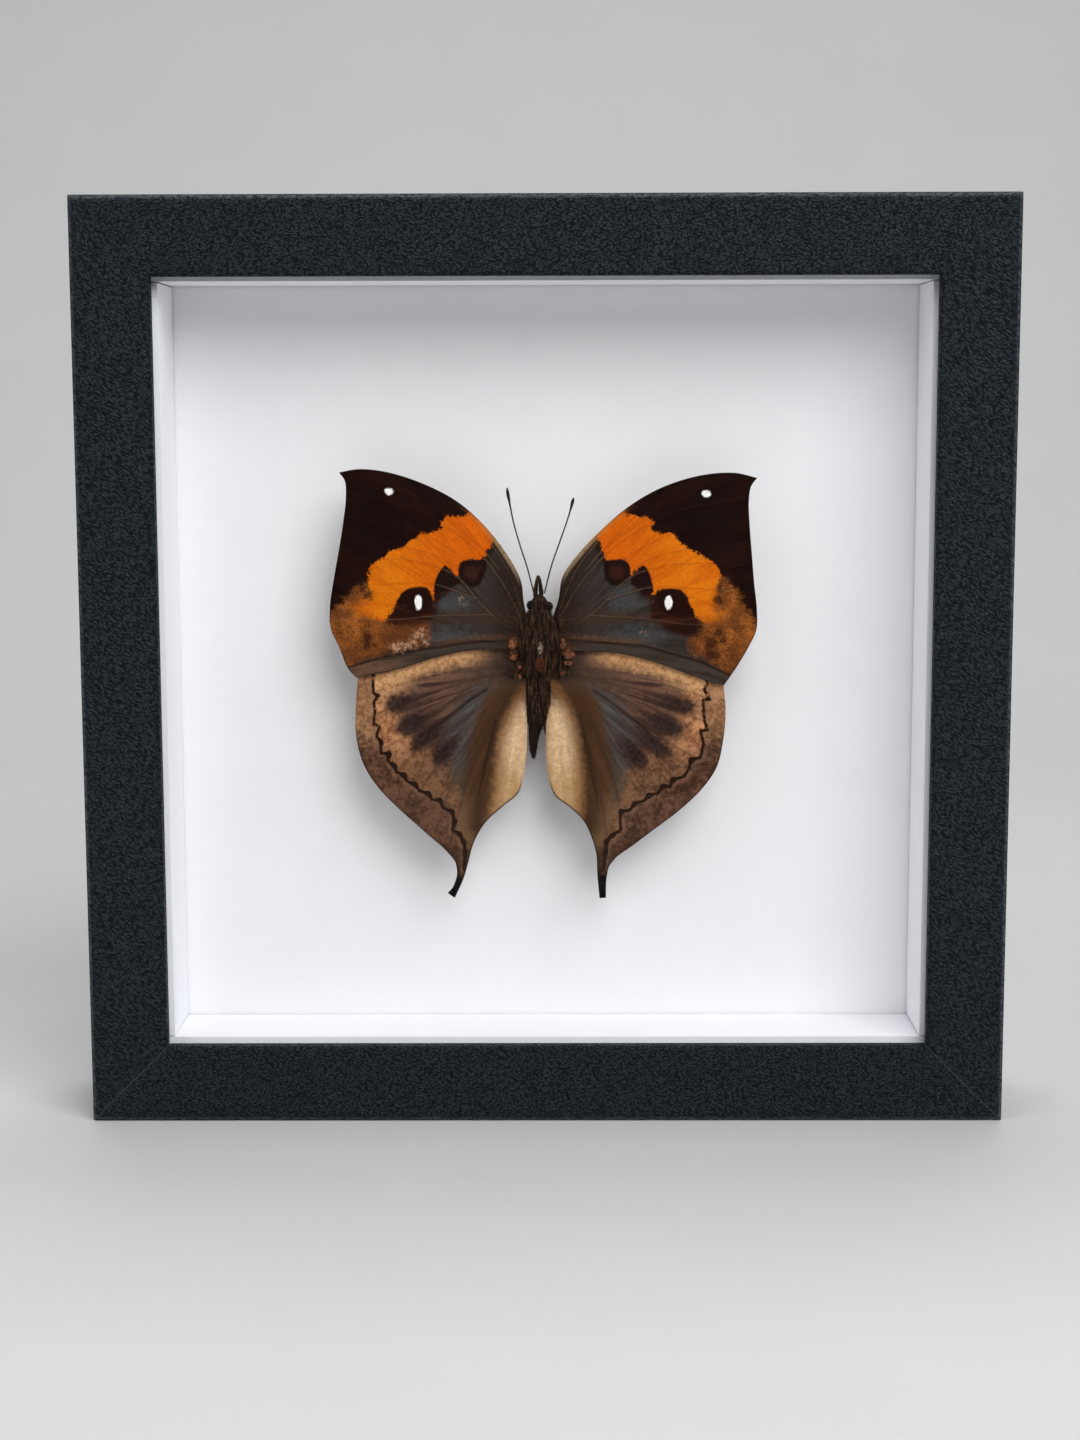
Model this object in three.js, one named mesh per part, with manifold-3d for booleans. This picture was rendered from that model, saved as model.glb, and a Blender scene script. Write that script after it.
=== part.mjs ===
// A leaf butterfly, pinned with its wings spread in front of a white board, in a square black box frame.
// Millimetres. X runs to the right, Y from the front to the back and Z up.
// The origin is at the middle of the base, so the frame stands on Z = 0 and faces -Y.
import * as THREE from "three";
import { mergeVertices } from "three/addons/utils/BufferGeometryUtils.js";
import Module from "manifold-3d";

// The moulding: four mitred rails, wrapped in black leatherette
const FRAME_SIDE = 200;
const FRAME_DEPTH = 38;
const FACE_WIDTH = 17;
const LIP_DEPTH = 3;
const LIP_REACH = 4.5;
const OUTER_ROUND = 2;
const INNER_ROUND = 0.8;
const BACK_ROUND = 1;
const MITRE_GAP = 0.1;

// The stack behind the lip, from the front to the back
const FIT_GAP = 0.3;
const GLASS_THICK = 2;
const LINER_THICK = 5;
const BOARD_SETBACK = 25;
const BOARD_THICK = 5;
const BACK_THICK = 2.5;

// The fittings in the recess behind the back panel
const METAL_THICK = 0.8;
const CLIP_WIDTH = 7;
const CLIP_REACH = 9;
const CLIP_UPSTAND = 3;
const CLIP_OFFSET = 45;
const HANGER_LENGTH = 44;
const HANGER_HEIGHT = 10;
const HANGER_END = 8;
const HANGER_TEETH = 9;
const HANGER_TOOTH = 1.6;
const HANGER_STANDOFF = 1.2;
const HANGER_RISE = 62;
const RIVET_RADIUS = 2;
const RIVET_DOME = 0.7;
const RIVET_SHOULDER = 0.5;

// How finely round forms are faceted
const CORNER_STEPS = 6;
const RIVET_SIDES = 16;
const PIN_SIDES = 12;
const EYE_FACETS = [12, 8];
const LEG_FACETS = { steps: 8, curveSegments: 3 };

// The butterfly: its pin's place across the frame, and how far its wings lie behind the front of the frame
const PIN_X = -1.5;
const PIN_Z = 103.4;
const WING_SETBACK = 13;
const WING_THICK = 0.25;
const PIN_RADIUS = 0.25;
const PIN_CLEARANCE = 0.1;
const PIN_ABOVE = 2.5;
const PIN_IN_BOARD = 4.4;
const PIN_BORE = 12;
const LEG_RADIUS = 0.28;

// Each wing is a patch between four edges, as points from the pin, x to the right and y up.
// A forewing's costa is its leading edge, and its outer edge runs from the tip to the rear corner.
const FOREWING_LEFT = {
  costa: [
    [-3.4, 5.5], [-3.3, 10], [-4, 14.9], [-7.4, 21.1], [-12.2, 27.1], [-17.9, 32.1],
    [-25, 35.8], [-32.7, 38.3], [-39, 39], [-43.3, 38.3],
  ],
  outer: [
    [-43.3, 38.3], [-42.1, 36.5], [-41.9, 32.6], [-42.5, 27.7], [-43.6, 21.3], [-44.8, 14.9],
    [-45.7, 9], [-45.6, 4.5], [-43.7, 0], [-41.9, -4.5], [-40.1, -6.5],
  ],
  inner: [[-3.9, -0.5], [-10, -0.3], [-16, -0.7], [-22, -1.9], [-30, -4.4], [-36, -5.8], [-40.1, -6.5]],
};
const FOREWING_RIGHT = {
  costa: [
    [3.6, 5.5], [4.2, 10.4], [5.2, 15.6], [8.8, 20.7], [13.7, 25.8], [20, 31.1],
    [27, 35], [35.3, 37.5], [42.5, 38], [47.4, 36.9],
  ],
  outer: [
    [47.4, 36.9], [46.1, 35.1], [45.6, 31.7], [45.8, 27.1], [46.4, 20.2], [46.9, 14.4],
    [47.6, 8], [47.5, 3.8], [45.8, 0], [43.2, -4.4], [40.6, -8.3],
  ],
  inner: [[3.9, -0.5], [11, -0.9], [18, -1.4], [25, -3.1], [32, -5.6], [37.5, -7.6], [40.6, -8.3]],
};
// A hindwing's outer and inner edges both run down to the tip of its tail.
const HINDWING_LEFT = {
  costa: [[-3.9, -5], [-10, 1.2], [-20, 1.8], [-30, -0.4], [-37, -3.8], [-39.8, -6.5]],
  outer: [
    [-39.8, -6.5], [-40.4, -13], [-40.4, -19.5], [-39, -25.5], [-35.9, -30.8], [-31.3, -35.7],
    [-25.3, -41.2], [-20.8, -45.3], [-18.5, -48.3], [-17.8, -51], [-18.7, -53.1], [-20.3, -54.9],
  ],
  inner: [
    [-3.9, -5], [-3.6, -12], [-3.1, -18], [-3, -24], [-3.6, -29], [-4.8, -32.6],
    [-8.2, -35.5], [-12, -39], [-14.6, -43.5], [-16, -48.5], [-17.2, -51.8], [-19.3, -55.8],
  ],
};
const HINDWING_RIGHT = {
  costa: [[3.9, -5], [10, 1.2], [20, 1.2], [30, -1.4], [37.5, -5], [40.5, -8]],
  outer: [
    [40.5, -8], [41, -14.5], [40.6, -20], [39.2, -26.5], [36, -31.4], [31.5, -35.8],
    [25.6, -40.4], [20.6, -44.2], [17, -46.9], [15.2, -49.4], [14.8, -52], [14.7, -56],
  ],
  inner: [
    [3.9, -5], [3.2, -11], [2.1, -16.8], [1.5, -22], [1.9, -28], [3.3, -32.9],
    [7, -35.9], [9.8, -38.7], [11.6, -42.5], [12.6, -46.4], [12.8, -50.6], [13.3, -56.1],
  ],
};
const FOREWING_SHAPE = { height: 0.7, camber: 0.8, stepsAlong: 14, stepsAcross: 12 };
const HINDWING_SHAPE = { height: -0.3, camber: 0.5, stepsAlong: 18, stepsAcross: 8 };

// The body, in stations from the front to the back: x, y, height, half width and half height.
const HEAD = {
  steps: 6,
  sides: 12,
  stations: [
    [0, 11.6, -0.9, 0.3, 0.3], [0.1, 11, -0.9, 1.3, 1.2], [0.15, 10, -0.9, 2, 1.8],
    [0.1, 9, -0.9, 1.7, 1.6], [0, 8.35, -0.9, 0.9, 0.9],
  ],
};
const THORAX = {
  steps: 10,
  sides: 16,
  stations: [
    [0, 8, -0.9, 0.8, 0.9], [0, 7, -0.9, 2, 2], [0, 5, -0.9, 2.8, 2.8], [0, 2, -0.9, 3.2, 3.1],
    [0, -1.5, -0.9, 3.3, 3.1], [0, -4.5, -1, 3, 2.8], [0, -6.1, -1.1, 2.4, 2.3],
  ],
};
const ABDOMEN = {
  steps: 12,
  sides: 14,
  stations: [
    [-0.1, -6.4, -1.2, 2.2, 2.1], [-0.2, -8.5, -1.3, 2.7, 2.4], [-0.35, -12, -1.4, 2.45, 2.3],
    [-0.65, -16, -1.6, 1.9, 2], [-1.15, -19, -1.8, 1.2, 1.5], [-1.35, -22, -2, 0.75, 0.9],
    [-1.3, -24.5, -2.1, 0.15, 0.2],
  ],
};
const EYES = [[-1.75, 9.95, -0.5], [2.05, 9.7, -0.5]];
const EYE_RADIUS = 1.05;
const PALP = {
  steps: 6,
  sides: 8,
  stations: [
    [0.75, 10.4, -1.2, 0.45, 0.5], [0.8, 12.3, -0.9, 0.7, 0.65],
    [0.5, 14.3, -0.4, 0.45, 0.45], [0.15, 15.7, 0, 0.1, 0.1],
  ],
};
const PALP_LEAN = -0.15;
const ANTENNA_LEFT = {
  steps: 14,
  sides: 6,
  stations: [
    [-1.1, 11.9, 0.6, 0.14, 0.14], [-2.5, 17.5, 1, 0.13, 0.13], [-4, 22.2, 1.4, 0.13, 0.13],
    [-5.4, 27.2, 1.8, 0.13, 0.13], [-6.2, 31.2, 2.1, 0.17, 0.17], [-6.7, 34, 2.3, 0.3, 0.3],
    [-6.85, 35, 2.4, 0.12, 0.12],
  ],
};
const ANTENNA_RIGHT = {
  steps: 14,
  sides: 6,
  stations: [
    [1.2, 11.9, 0.6, 0.14, 0.14], [2.7, 17.8, 1, 0.13, 0.13], [4.5, 23, 1.4, 0.13, 0.13],
    [6.1, 27.6, 1.8, 0.13, 0.13], [6.85, 30, 2, 0.17, 0.17], [7.4, 32.1, 2.2, 0.3, 0.3],
    [7.6, 32.8, 2.25, 0.12, 0.12],
  ],
};
// The legs lie folded under the thorax. The front pair is short, as in all brush-footed butterflies.
const LEG_PATHS = [
  [[1, 5, -2.6], [1.7, 7, -4.2], [1.3, 5, -5]],
  [[1.2, 1.8, -3], [3.1, 3.6, -5.2], [2.7, -1.5, -6.2], [2, -5.5, -6.7]],
  [[1.3, -2, -3], [3.4, -3, -5], [2.9, -7.5, -5.9], [2.3, -12, -6.6]],
];

const LEATHERETTE = new THREE.MeshStandardMaterial({ color: 0x1c2026, roughness: 0.55, metalness: 0 });
const GLASS = new THREE.MeshStandardMaterial({
  color: 0xf4f8f8, roughness: 0.05, metalness: 0, transparent: true, opacity: 0.2,
});
const WHITE_CARD = new THREE.MeshStandardMaterial({ color: 0xf2f3f6, roughness: 0.9, metalness: 0 });
const FIBREBOARD = new THREE.MeshStandardMaterial({ color: 0x8a6a4a, roughness: 0.85, metalness: 0 });
const ZINC = new THREE.MeshStandardMaterial({ color: 0xb9bcc0, roughness: 0.35, metalness: 1 });
const FOREWING = new THREE.MeshStandardMaterial({ color: 0xc8690d, roughness: 0.75, metalness: 0 });
const HINDWING = new THREE.MeshStandardMaterial({ color: 0x6d5038, roughness: 0.75, metalness: 0 });
const BODY = new THREE.MeshStandardMaterial({ color: 0x35261a, roughness: 0.8, metalness: 0 });
const STEEL = new THREE.MeshStandardMaterial({ color: 0xc8c8c8, roughness: 0.3, metalness: 1 });

// Each side of the frame is the bottom side turned by this many half turns.
const SIDE_TURNS = { bottom: 0, left: 0.5, top: 1, right: -0.5 };

const HALF_SIDE = FRAME_SIDE / 2;
const HALF_DEPTH = FRAME_DEPTH / 2;
const WALL_WIDTH = FACE_WIDTH - LIP_REACH;
const INSERT_HALF = HALF_SIDE - WALL_WIDTH - FIT_GAP;
const GLASS_FRONT = LIP_DEPTH + FIT_GAP;
const LINER_FRONT = GLASS_FRONT + GLASS_THICK + FIT_GAP;
const BACK_SETBACK = BOARD_SETBACK + BOARD_THICK + FIT_GAP;
const RECESS_FLOOR = BACK_SETBACK + BACK_THICK + FIT_GAP;

const wasm = await Module();
wasm.setup();

// A closed geometry as a solid that can be cut and joined.
function solidOf(geometry) {
  const bare = geometry.clone();
  bare.deleteAttribute("normal");
  bare.deleteAttribute("uv");
  const merged = mergeVertices(bare);
  return new wasm.Manifold(
    new wasm.Mesh({
      numProp: 3,
      vertProperties: merged.attributes.position.array,
      triVerts: new Uint32Array(merged.index.array),
    }),
  );
}

function geometryOf(solid) {
  const mesh = solid.getMesh();
  const geometry = new THREE.BufferGeometry();
  geometry.setAttribute("position", new THREE.BufferAttribute(mesh.vertProperties, 3));
  geometry.setIndex(new THREE.BufferAttribute(mesh.triVerts, 1));
  geometry.computeVertexNormals();
  return geometry;
}

function joined(geometries) {
  return geometryOf(geometries.map(solidOf).reduce((whole, next) => whole.add(next)));
}

function named(name, geometry, material) {
  const mesh = new THREE.Mesh(geometry, material);
  mesh.name = name;
  return mesh;
}

// A box from its lowest to its highest corner.
function box(low, high) {
  const geometry = new THREE.BoxGeometry(high[0] - low[0], high[1] - low[1], high[2] - low[2]);
  geometry.translate((low[0] + high[0]) / 2, (low[1] + high[1]) / 2, (low[2] + high[2]) / 2);
  return geometry;
}

// The moulding's section: across from the outer edge, and back from the front face.
function railSection() {
  const section = new THREE.Shape();
  section.moveTo(0, OUTER_ROUND);
  section.absarc(OUTER_ROUND, OUTER_ROUND, OUTER_ROUND, Math.PI, 1.5 * Math.PI);
  section.lineTo(FACE_WIDTH - INNER_ROUND, 0);
  section.absarc(FACE_WIDTH - INNER_ROUND, INNER_ROUND, INNER_ROUND, 1.5 * Math.PI, 2 * Math.PI);
  section.lineTo(FACE_WIDTH, LIP_DEPTH);
  section.lineTo(WALL_WIDTH, LIP_DEPTH);
  section.lineTo(WALL_WIDTH, FRAME_DEPTH);
  section.lineTo(BACK_ROUND, FRAME_DEPTH);
  section.absarc(BACK_ROUND, FRAME_DEPTH - BACK_ROUND, BACK_ROUND, 0.5 * Math.PI, Math.PI);
  return section;
}

// The bottom rail about the frame's centre. Its ends slope at 45 degrees for the mitres.
function railGeometry() {
  const geometry = new THREE.ExtrudeGeometry(railSection(), {
    depth: FRAME_SIDE,
    bevelEnabled: false,
    curveSegments: CORNER_STEPS,
  });
  const place = geometry.attributes.position;
  for (let i = 0; i < place.count; i++) {
    const cutBack = place.getX(i) + MITRE_GAP;
    place.setZ(i, place.getZ(i) > HALF_SIDE ? FRAME_SIDE - cutBack : cutBack);
  }
  geometry.rotateY(-Math.PI / 2);
  geometry.translate(HALF_SIDE, -HALF_DEPTH, -HALF_SIDE);
  return geometry;
}

function frameRails() {
  return Object.entries(SIDE_TURNS).map(([side, turn]) => {
    const rail = named("frame_rail_" + side, railGeometry(), LEATHERETTE);
    rail.rotation.y = turn * Math.PI;
    rail.position.z = HALF_SIDE;
    return rail;
  });
}

// A flat panel that fills the rebate, between two setbacks from the front of the frame.
function panel(front, thick) {
  return box(
    [-INSERT_HALF, front - HALF_DEPTH, HALF_SIDE - INSERT_HALF],
    [INSERT_HALF, front + thick - HALF_DEPTH, HALF_SIDE + INSERT_HALF],
  );
}

// The liner's top and bottom walls run the whole width, and its side walls stand between them.
function linerWalls() {
  const front = LINER_FRONT - HALF_DEPTH;
  const back = BOARD_SETBACK - FIT_GAP - HALF_DEPTH;
  const inside = INSERT_HALF - LINER_THICK;
  const level = box([-INSERT_HALF, front, inside], [INSERT_HALF, back, INSERT_HALF]);
  const upright = box([inside, front, FIT_GAP - inside], [INSERT_HALF, back, inside - FIT_GAP]);
  const walls = { top: [level, 0], bottom: [level, 1], right: [upright, 0], left: [upright, 1] };
  return Object.entries(walls).map(([side, [geometry, turn]]) => {
    const wall = named("liner_wall_" + side, geometry, WHITE_CARD);
    wall.rotation.y = turn * Math.PI;
    wall.position.z = HALF_SIDE;
    return wall;
  });
}

// A round bar along Y that clears the pin all round, to cut its holes with.
function pinHole(length) {
  const radius = PIN_RADIUS + PIN_CLEARANCE;
  return new THREE.CylinderGeometry(radius, radius, length, PIN_SIDES);
}

// The white board behind the butterfly, with the hole that its pin makes.
function mountBoard() {
  const hole = pinHole(2 * (PIN_IN_BOARD + PIN_CLEARANCE));
  hole.translate(PIN_X, BOARD_SETBACK - HALF_DEPTH, PIN_Z);
  const board = solidOf(panel(BOARD_SETBACK, BOARD_THICK));
  return named("mount_board", geometryOf(board.subtract(solidOf(hole))), WHITE_CARD);
}

// Bent clips hold the back panel in: a tongue on the panel and an upstand against the rail.
function backClips() {
  const section = new THREE.Shape();
  section.moveTo(0, 0);
  section.lineTo(CLIP_REACH, 0);
  section.lineTo(CLIP_REACH, METAL_THICK);
  section.lineTo(METAL_THICK, METAL_THICK);
  section.lineTo(METAL_THICK, CLIP_UPSTAND);
  section.lineTo(0, CLIP_UPSTAND);
  const clip = new THREE.ExtrudeGeometry(section, { depth: CLIP_WIDTH, bevelEnabled: false });
  clip.rotateY(-Math.PI / 2);
  clip.translate(CLIP_WIDTH / 2, RECESS_FLOOR - HALF_DEPTH, -INSERT_HALF);
  return Object.entries(SIDE_TURNS).flatMap(([side, turn]) =>
    [-1, 1].map((end) => {
      const placed = clip.clone();
      placed.translate(end * CLIP_OFFSET, 0, 0);
      const piece = named("back_clip_" + side + (end < 0 ? "_1" : "_2"), placed, ZINC);
      piece.rotation.y = turn * Math.PI;
      piece.position.z = HALF_SIDE;
      return piece;
    }),
  );
}

// A toothed plate to hang the frame on a nail, on two rivets in the back panel.
function hanger() {
  const half = HANGER_LENGTH / 2;
  const start = HANGER_END - half;
  const pitch = -2 * start / HANGER_TEETH;
  const plate = new THREE.Shape();
  plate.moveTo(-half, 0);
  plate.lineTo(start, 0);
  for (let tooth = 0; tooth < HANGER_TEETH; tooth++) {
    plate.lineTo(start + (tooth + 0.5) * pitch, HANGER_TOOTH);
    plate.lineTo(start + (tooth + 1) * pitch, 0);
  }
  plate.lineTo(half, 0);
  plate.lineTo(half, HANGER_HEIGHT);
  plate.lineTo(-half, HANGER_HEIGHT);
  const sheet = new THREE.ExtrudeGeometry(plate, { depth: METAL_THICK, bevelEnabled: false });
  sheet.translate(0, -HANGER_HEIGHT / 2, HANGER_STANDOFF);
  const rivets = [-1, 1].map((end) => {
    const top = HANGER_STANDOFF + METAL_THICK;
    const outline = [
      new THREE.Vector2(0, 0),
      new THREE.Vector2(RIVET_RADIUS, 0),
      new THREE.Vector2(RIVET_RADIUS, top),
      new THREE.Vector2(RIVET_RADIUS * RIVET_DOME, top + RIVET_SHOULDER),
      new THREE.Vector2(0, top + RIVET_DOME),
    ];
    const rivet = new THREE.LatheGeometry(outline, RIVET_SIDES);
    rivet.rotateX(Math.PI / 2);
    rivet.translate(end * (half - HANGER_END / 2), 0, 0);
    return rivet;
  });
  const geometry = joined([sheet, ...rivets]);
  const plateMesh = named("hanger_plate", geometry, ZINC);
  plateMesh.rotation.set(Math.PI / 2, Math.PI, 0);
  plateMesh.position.set(0, RECESS_FLOOR - HALF_DEPTH, HALF_SIDE + HANGER_RISE);
  return plateMesh;
}

// A smooth curve through flat points.
function curveThrough(points) {
  const places = points.map(([x, y]) => new THREE.Vector3(x, y, 0));
  return new THREE.CatmullRomCurve3(places, false, "centripetal");
}

// A wing as a closed thin sheet. Its four edges bound a patch: each point is the sum of the blend between
// the edges along and the blend between the edges across, less the blend of the four corners.
function wingGeometry(edges, shape) {
  const { alongLow, alongHigh, acrossLow, acrossHigh } = edges;
  const { height, camber, stepsAlong, stepsAcross } = shape;
  const corners = [alongLow, alongHigh].flatMap((edge) => [edge.getPoint(0), edge.getPoint(1)]);
  const point = (u, v) => {
    const along = alongLow.getPoint(u).lerp(alongHigh.getPoint(u), v);
    const across = acrossLow.getPoint(v).lerp(acrossHigh.getPoint(v), u);
    const flat = corners[0].clone().lerp(corners[1], u).lerp(corners[2].clone().lerp(corners[3], u), v);
    const place = along.add(across).sub(flat);
    place.z = height + camber * Math.sin(Math.PI * u) * Math.sin(Math.PI * v);
    return place;
  };
  const row = stepsAcross + 1;
  const sheet = (stepsAlong + 1) * row;
  const vertices = [];
  for (const side of [0.5, -0.5]) {
    for (let i = 0; i <= stepsAlong; i++) {
      for (let j = 0; j <= stepsAcross; j++) {
        const place = point(i / stepsAlong, j / stepsAcross);
        vertices.push(place.x, place.y, place.z + side * WING_THICK);
      }
    }
  }
  const faces = [];
  const quad = (a, b, c, d) => faces.push(a, b, c, a, c, d);
  for (let i = 0; i < stepsAlong; i++) {
    for (let j = 0; j < stepsAcross; j++) {
      const a = i * row + j;
      quad(a, a + row, a + row + 1, a + 1);
      quad(sheet + a, sheet + a + 1, sheet + a + row + 1, sheet + a + row);
    }
  }
  const rim = [];
  for (let i = 0; i < stepsAlong; i++) rim.push(i * row);
  for (let j = 0; j < stepsAcross; j++) rim.push(stepsAlong * row + j);
  for (let i = stepsAlong; i > 0; i--) rim.push(i * row + stepsAcross);
  for (let j = stepsAcross; j > 0; j--) rim.push(j);
  rim.forEach((a, n) => {
    const b = rim[(n + 1) % rim.length];
    quad(a, sheet + a, sheet + b, b);
  });
  const across = corners[1].clone().sub(corners[0]).cross(corners[2].clone().sub(corners[0]));
  if (across.z < 0) faces.reverse();
  const geometry = new THREE.BufferGeometry();
  geometry.setAttribute("position", new THREE.Float32BufferAttribute(vertices, 3));
  geometry.setIndex(faces);
  geometry.computeVertexNormals();
  return geometry;
}

// A forewing's patch runs from its base, at the thorax, to its outer edge.
function forewing(side, outline) {
  const edges = {
    alongLow: curveThrough(outline.inner),
    alongHigh: curveThrough(outline.costa),
    acrossLow: curveThrough([outline.inner[0], outline.costa[0]]),
    acrossHigh: curveThrough(outline.outer.toReversed()),
  };
  return named("forewing_" + side, wingGeometry(edges, FOREWING_SHAPE), FOREWING);
}

// A hindwing's patch runs from its leading edge down to the tip of its tail.
function hindwing(side, outline) {
  const edges = {
    alongLow: curveThrough(outline.inner),
    alongHigh: curveThrough(outline.outer),
    acrossLow: curveThrough(outline.costa),
    acrossHigh: curveThrough([outline.inner.at(-1), outline.outer.at(-1)]),
  };
  return named("hindwing_" + side, wingGeometry(edges, HINDWING_SHAPE), HINDWING);
}

// A body swept from its first station to its last, with an oval section across Y and both ends closed.
function sweptBody({ stations, steps, sides }) {
  const centre = new THREE.CatmullRomCurve3(stations.map(([x, y, z]) => new THREE.Vector3(x, y, z)));
  const size = new THREE.SplineCurve(stations.map((s) => new THREE.Vector2(s[3], s[4])));
  const vertices = [];
  for (let i = 0; i <= steps; i++) {
    const middle = centre.getPoint(i / steps);
    const half = size.getPoint(i / steps);
    for (let j = 0; j < sides; j++) {
      const angle = (2 * Math.PI * j) / sides;
      vertices.push(middle.x + half.x * Math.cos(angle), middle.y, middle.z + half.y * Math.sin(angle));
    }
  }
  const first = (steps + 1) * sides;
  vertices.push(...centre.getPoint(0), ...centre.getPoint(1));
  const faces = [];
  for (let j = 0; j < sides; j++) {
    const next = (j + 1) % sides;
    for (let i = 0; i < steps; i++) {
      const a = i * sides;
      faces.push(a + j, a + next, a + sides + next, a + j, a + sides + next, a + sides + j);
    }
    const last = steps * sides;
    faces.push(first, next, j, first + 1, last + j, last + next);
  }
  if (stations[0][1] < stations.at(-1)[1]) faces.reverse();
  const geometry = new THREE.BufferGeometry();
  geometry.setAttribute("position", new THREE.Float32BufferAttribute(vertices, 3));
  geometry.setIndex(faces);
  geometry.computeVertexNormals();
  return geometry;
}

// The head with its two eyes and the two palps that point forward between them.
function head() {
  const eyes = EYES.map((place) => new THREE.SphereGeometry(EYE_RADIUS, ...EYE_FACETS).translate(...place));
  const palps = [-1, 1].map((side) => {
    const stations = PALP.stations.map(([x, ...rest]) => [side * x + PALP_LEAN, ...rest]);
    return sweptBody({ ...PALP, stations });
  });
  return named("head", joined([sweptBody(HEAD), ...eyes, ...palps]), BODY);
}

// The thorax with its three pairs of legs, bored for the pin.
function thorax() {
  const section = new THREE.Shape().absarc(0, 0, LEG_RADIUS, 0, 2 * Math.PI);
  const legs = LEG_PATHS.flatMap((path) =>
    [-1, 1].map((side) => {
      const route = new THREE.CatmullRomCurve3(path.map(([x, y, z]) => new THREE.Vector3(side * x, y, z)));
      return new THREE.ExtrudeGeometry(section, { ...LEG_FACETS, extrudePath: route });
    }),
  );
  const bore = pinHole(PIN_BORE);
  bore.rotateX(Math.PI / 2);
  const trunk = joined([sweptBody(THORAX), ...legs]);
  return named("thorax", geometryOf(solidOf(trunk).subtract(solidOf(bore))), BODY);
}

// A headless pin through the thorax and into the board.
function pin() {
  const tip = WING_SETBACK - BOARD_SETBACK - PIN_IN_BOARD;
  const rod = new THREE.CylinderGeometry(PIN_RADIUS, PIN_RADIUS, PIN_ABOVE - tip, PIN_SIDES);
  rod.rotateX(Math.PI / 2);
  rod.translate(0, 0, (PIN_ABOVE + tip) / 2);
  return named("pin", rod, STEEL);
}

// The butterfly is laid out flat, x to the right and y up, and then stood upright in the frame.
function butterfly() {
  const specimen = new THREE.Group();
  specimen.add(
    forewing("left", FOREWING_LEFT),
    forewing("right", FOREWING_RIGHT),
    hindwing("left", HINDWING_LEFT),
    hindwing("right", HINDWING_RIGHT),
    head(),
    thorax(),
    named("abdomen", sweptBody(ABDOMEN), BODY),
    named("antenna_left", sweptBody(ANTENNA_LEFT), BODY),
    named("antenna_right", sweptBody(ANTENNA_RIGHT), BODY),
    pin(),
  );
  specimen.rotation.x = Math.PI / 2;
  specimen.position.set(PIN_X, WING_SETBACK - HALF_DEPTH, PIN_Z);
  return specimen;
}

const framedButterfly = new THREE.Group();
framedButterfly.add(
  ...frameRails(),
  named("glass_pane", panel(GLASS_FRONT, GLASS_THICK), GLASS),
  ...linerWalls(),
  mountBoard(),
  named("back_panel", panel(BACK_SETBACK, BACK_THICK), FIBREBOARD),
  ...backClips(),
  hanger(),
  butterfly(),
);

export default framedButterfly;
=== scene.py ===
# %% [markdown]
# # A leaf butterfly in a box frame
# A leaf butterfly is pinned with its wings spread, in front of a white board, behind the glass of a
# square black frame. The solid model of every piece is loaded first and is never moved. This lesson gives
# each piece its finish, and where a plain solid can't show it, such as a wing, a finer surface takes the
# solid's place.

# %% Load the solid model
import math
import bpy
import numpy as np
from mathutils import Matrix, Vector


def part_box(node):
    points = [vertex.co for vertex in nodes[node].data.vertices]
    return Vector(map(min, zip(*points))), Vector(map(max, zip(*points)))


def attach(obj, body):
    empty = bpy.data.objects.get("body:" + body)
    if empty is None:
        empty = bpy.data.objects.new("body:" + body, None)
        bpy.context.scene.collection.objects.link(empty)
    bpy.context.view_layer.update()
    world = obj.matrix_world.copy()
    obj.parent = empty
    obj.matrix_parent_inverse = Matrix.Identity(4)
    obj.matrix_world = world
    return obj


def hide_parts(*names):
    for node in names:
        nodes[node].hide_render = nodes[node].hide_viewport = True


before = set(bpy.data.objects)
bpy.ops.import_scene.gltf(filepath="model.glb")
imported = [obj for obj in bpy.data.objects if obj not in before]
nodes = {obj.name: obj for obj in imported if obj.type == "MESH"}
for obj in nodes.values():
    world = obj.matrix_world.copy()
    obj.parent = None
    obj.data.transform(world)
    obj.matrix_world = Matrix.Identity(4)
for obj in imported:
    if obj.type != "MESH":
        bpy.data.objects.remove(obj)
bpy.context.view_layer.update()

MM = 0.001

# %% [markdown]
# ## The camera
# The picture looks at the frame from a little above its middle, with a long lens. The lens's length and
# the camera's place were worked out from where the frame's corners fall in a picture 1080 pixels wide, so
# they are numbers to keep, and everything else is built to its real size.

# %% Set up the camera
PICTURE_WIDTH = 1080
FOCAL_PIXELS = 2330
SENSOR_WIDTH = 36
CAMERA_PLACE = (2.3, -514.6, 155.2)
PITCH, ROLL, YAW = -7.6, 0.15, 0.41


def turned(axis, degrees):
    """The matrix of a turn about one axis."""
    return Matrix.Rotation(math.radians(degrees), 4, axis)


lens = bpy.data.cameras.new("camera")
lens.sensor_fit = "HORIZONTAL"
lens.sensor_width = SENSOR_WIDTH
lens.lens = FOCAL_PIXELS / PICTURE_WIDTH * SENSOR_WIDTH
lens.clip_start = 0.01
camera = bpy.data.objects.new("camera", lens)
bpy.context.scene.collection.objects.link(camera)
camera.matrix_world = (
    Matrix.Translation([c * MM for c in CAMERA_PLACE])
    @ turned("Z", YAW) @ turned("X", PITCH) @ turned("Y", ROLL) @ turned("X", 90)
)
bpy.context.scene.camera = camera
print("the lens is", round(lens.lens, 2), "mm long")

# %% [markdown]
# ## From arrays to meshes
# Every new piece is a surface worked out with numpy: a grid of places in millimetres and rows of corner
# numbers. One function puts such arrays into a mesh all at once, which is much quicker than adding
# corners one by one. It also measures the volume, because a negative volume says that the faces point
# inwards and have to be turned round.

# %% Make a piece from arrays


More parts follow.
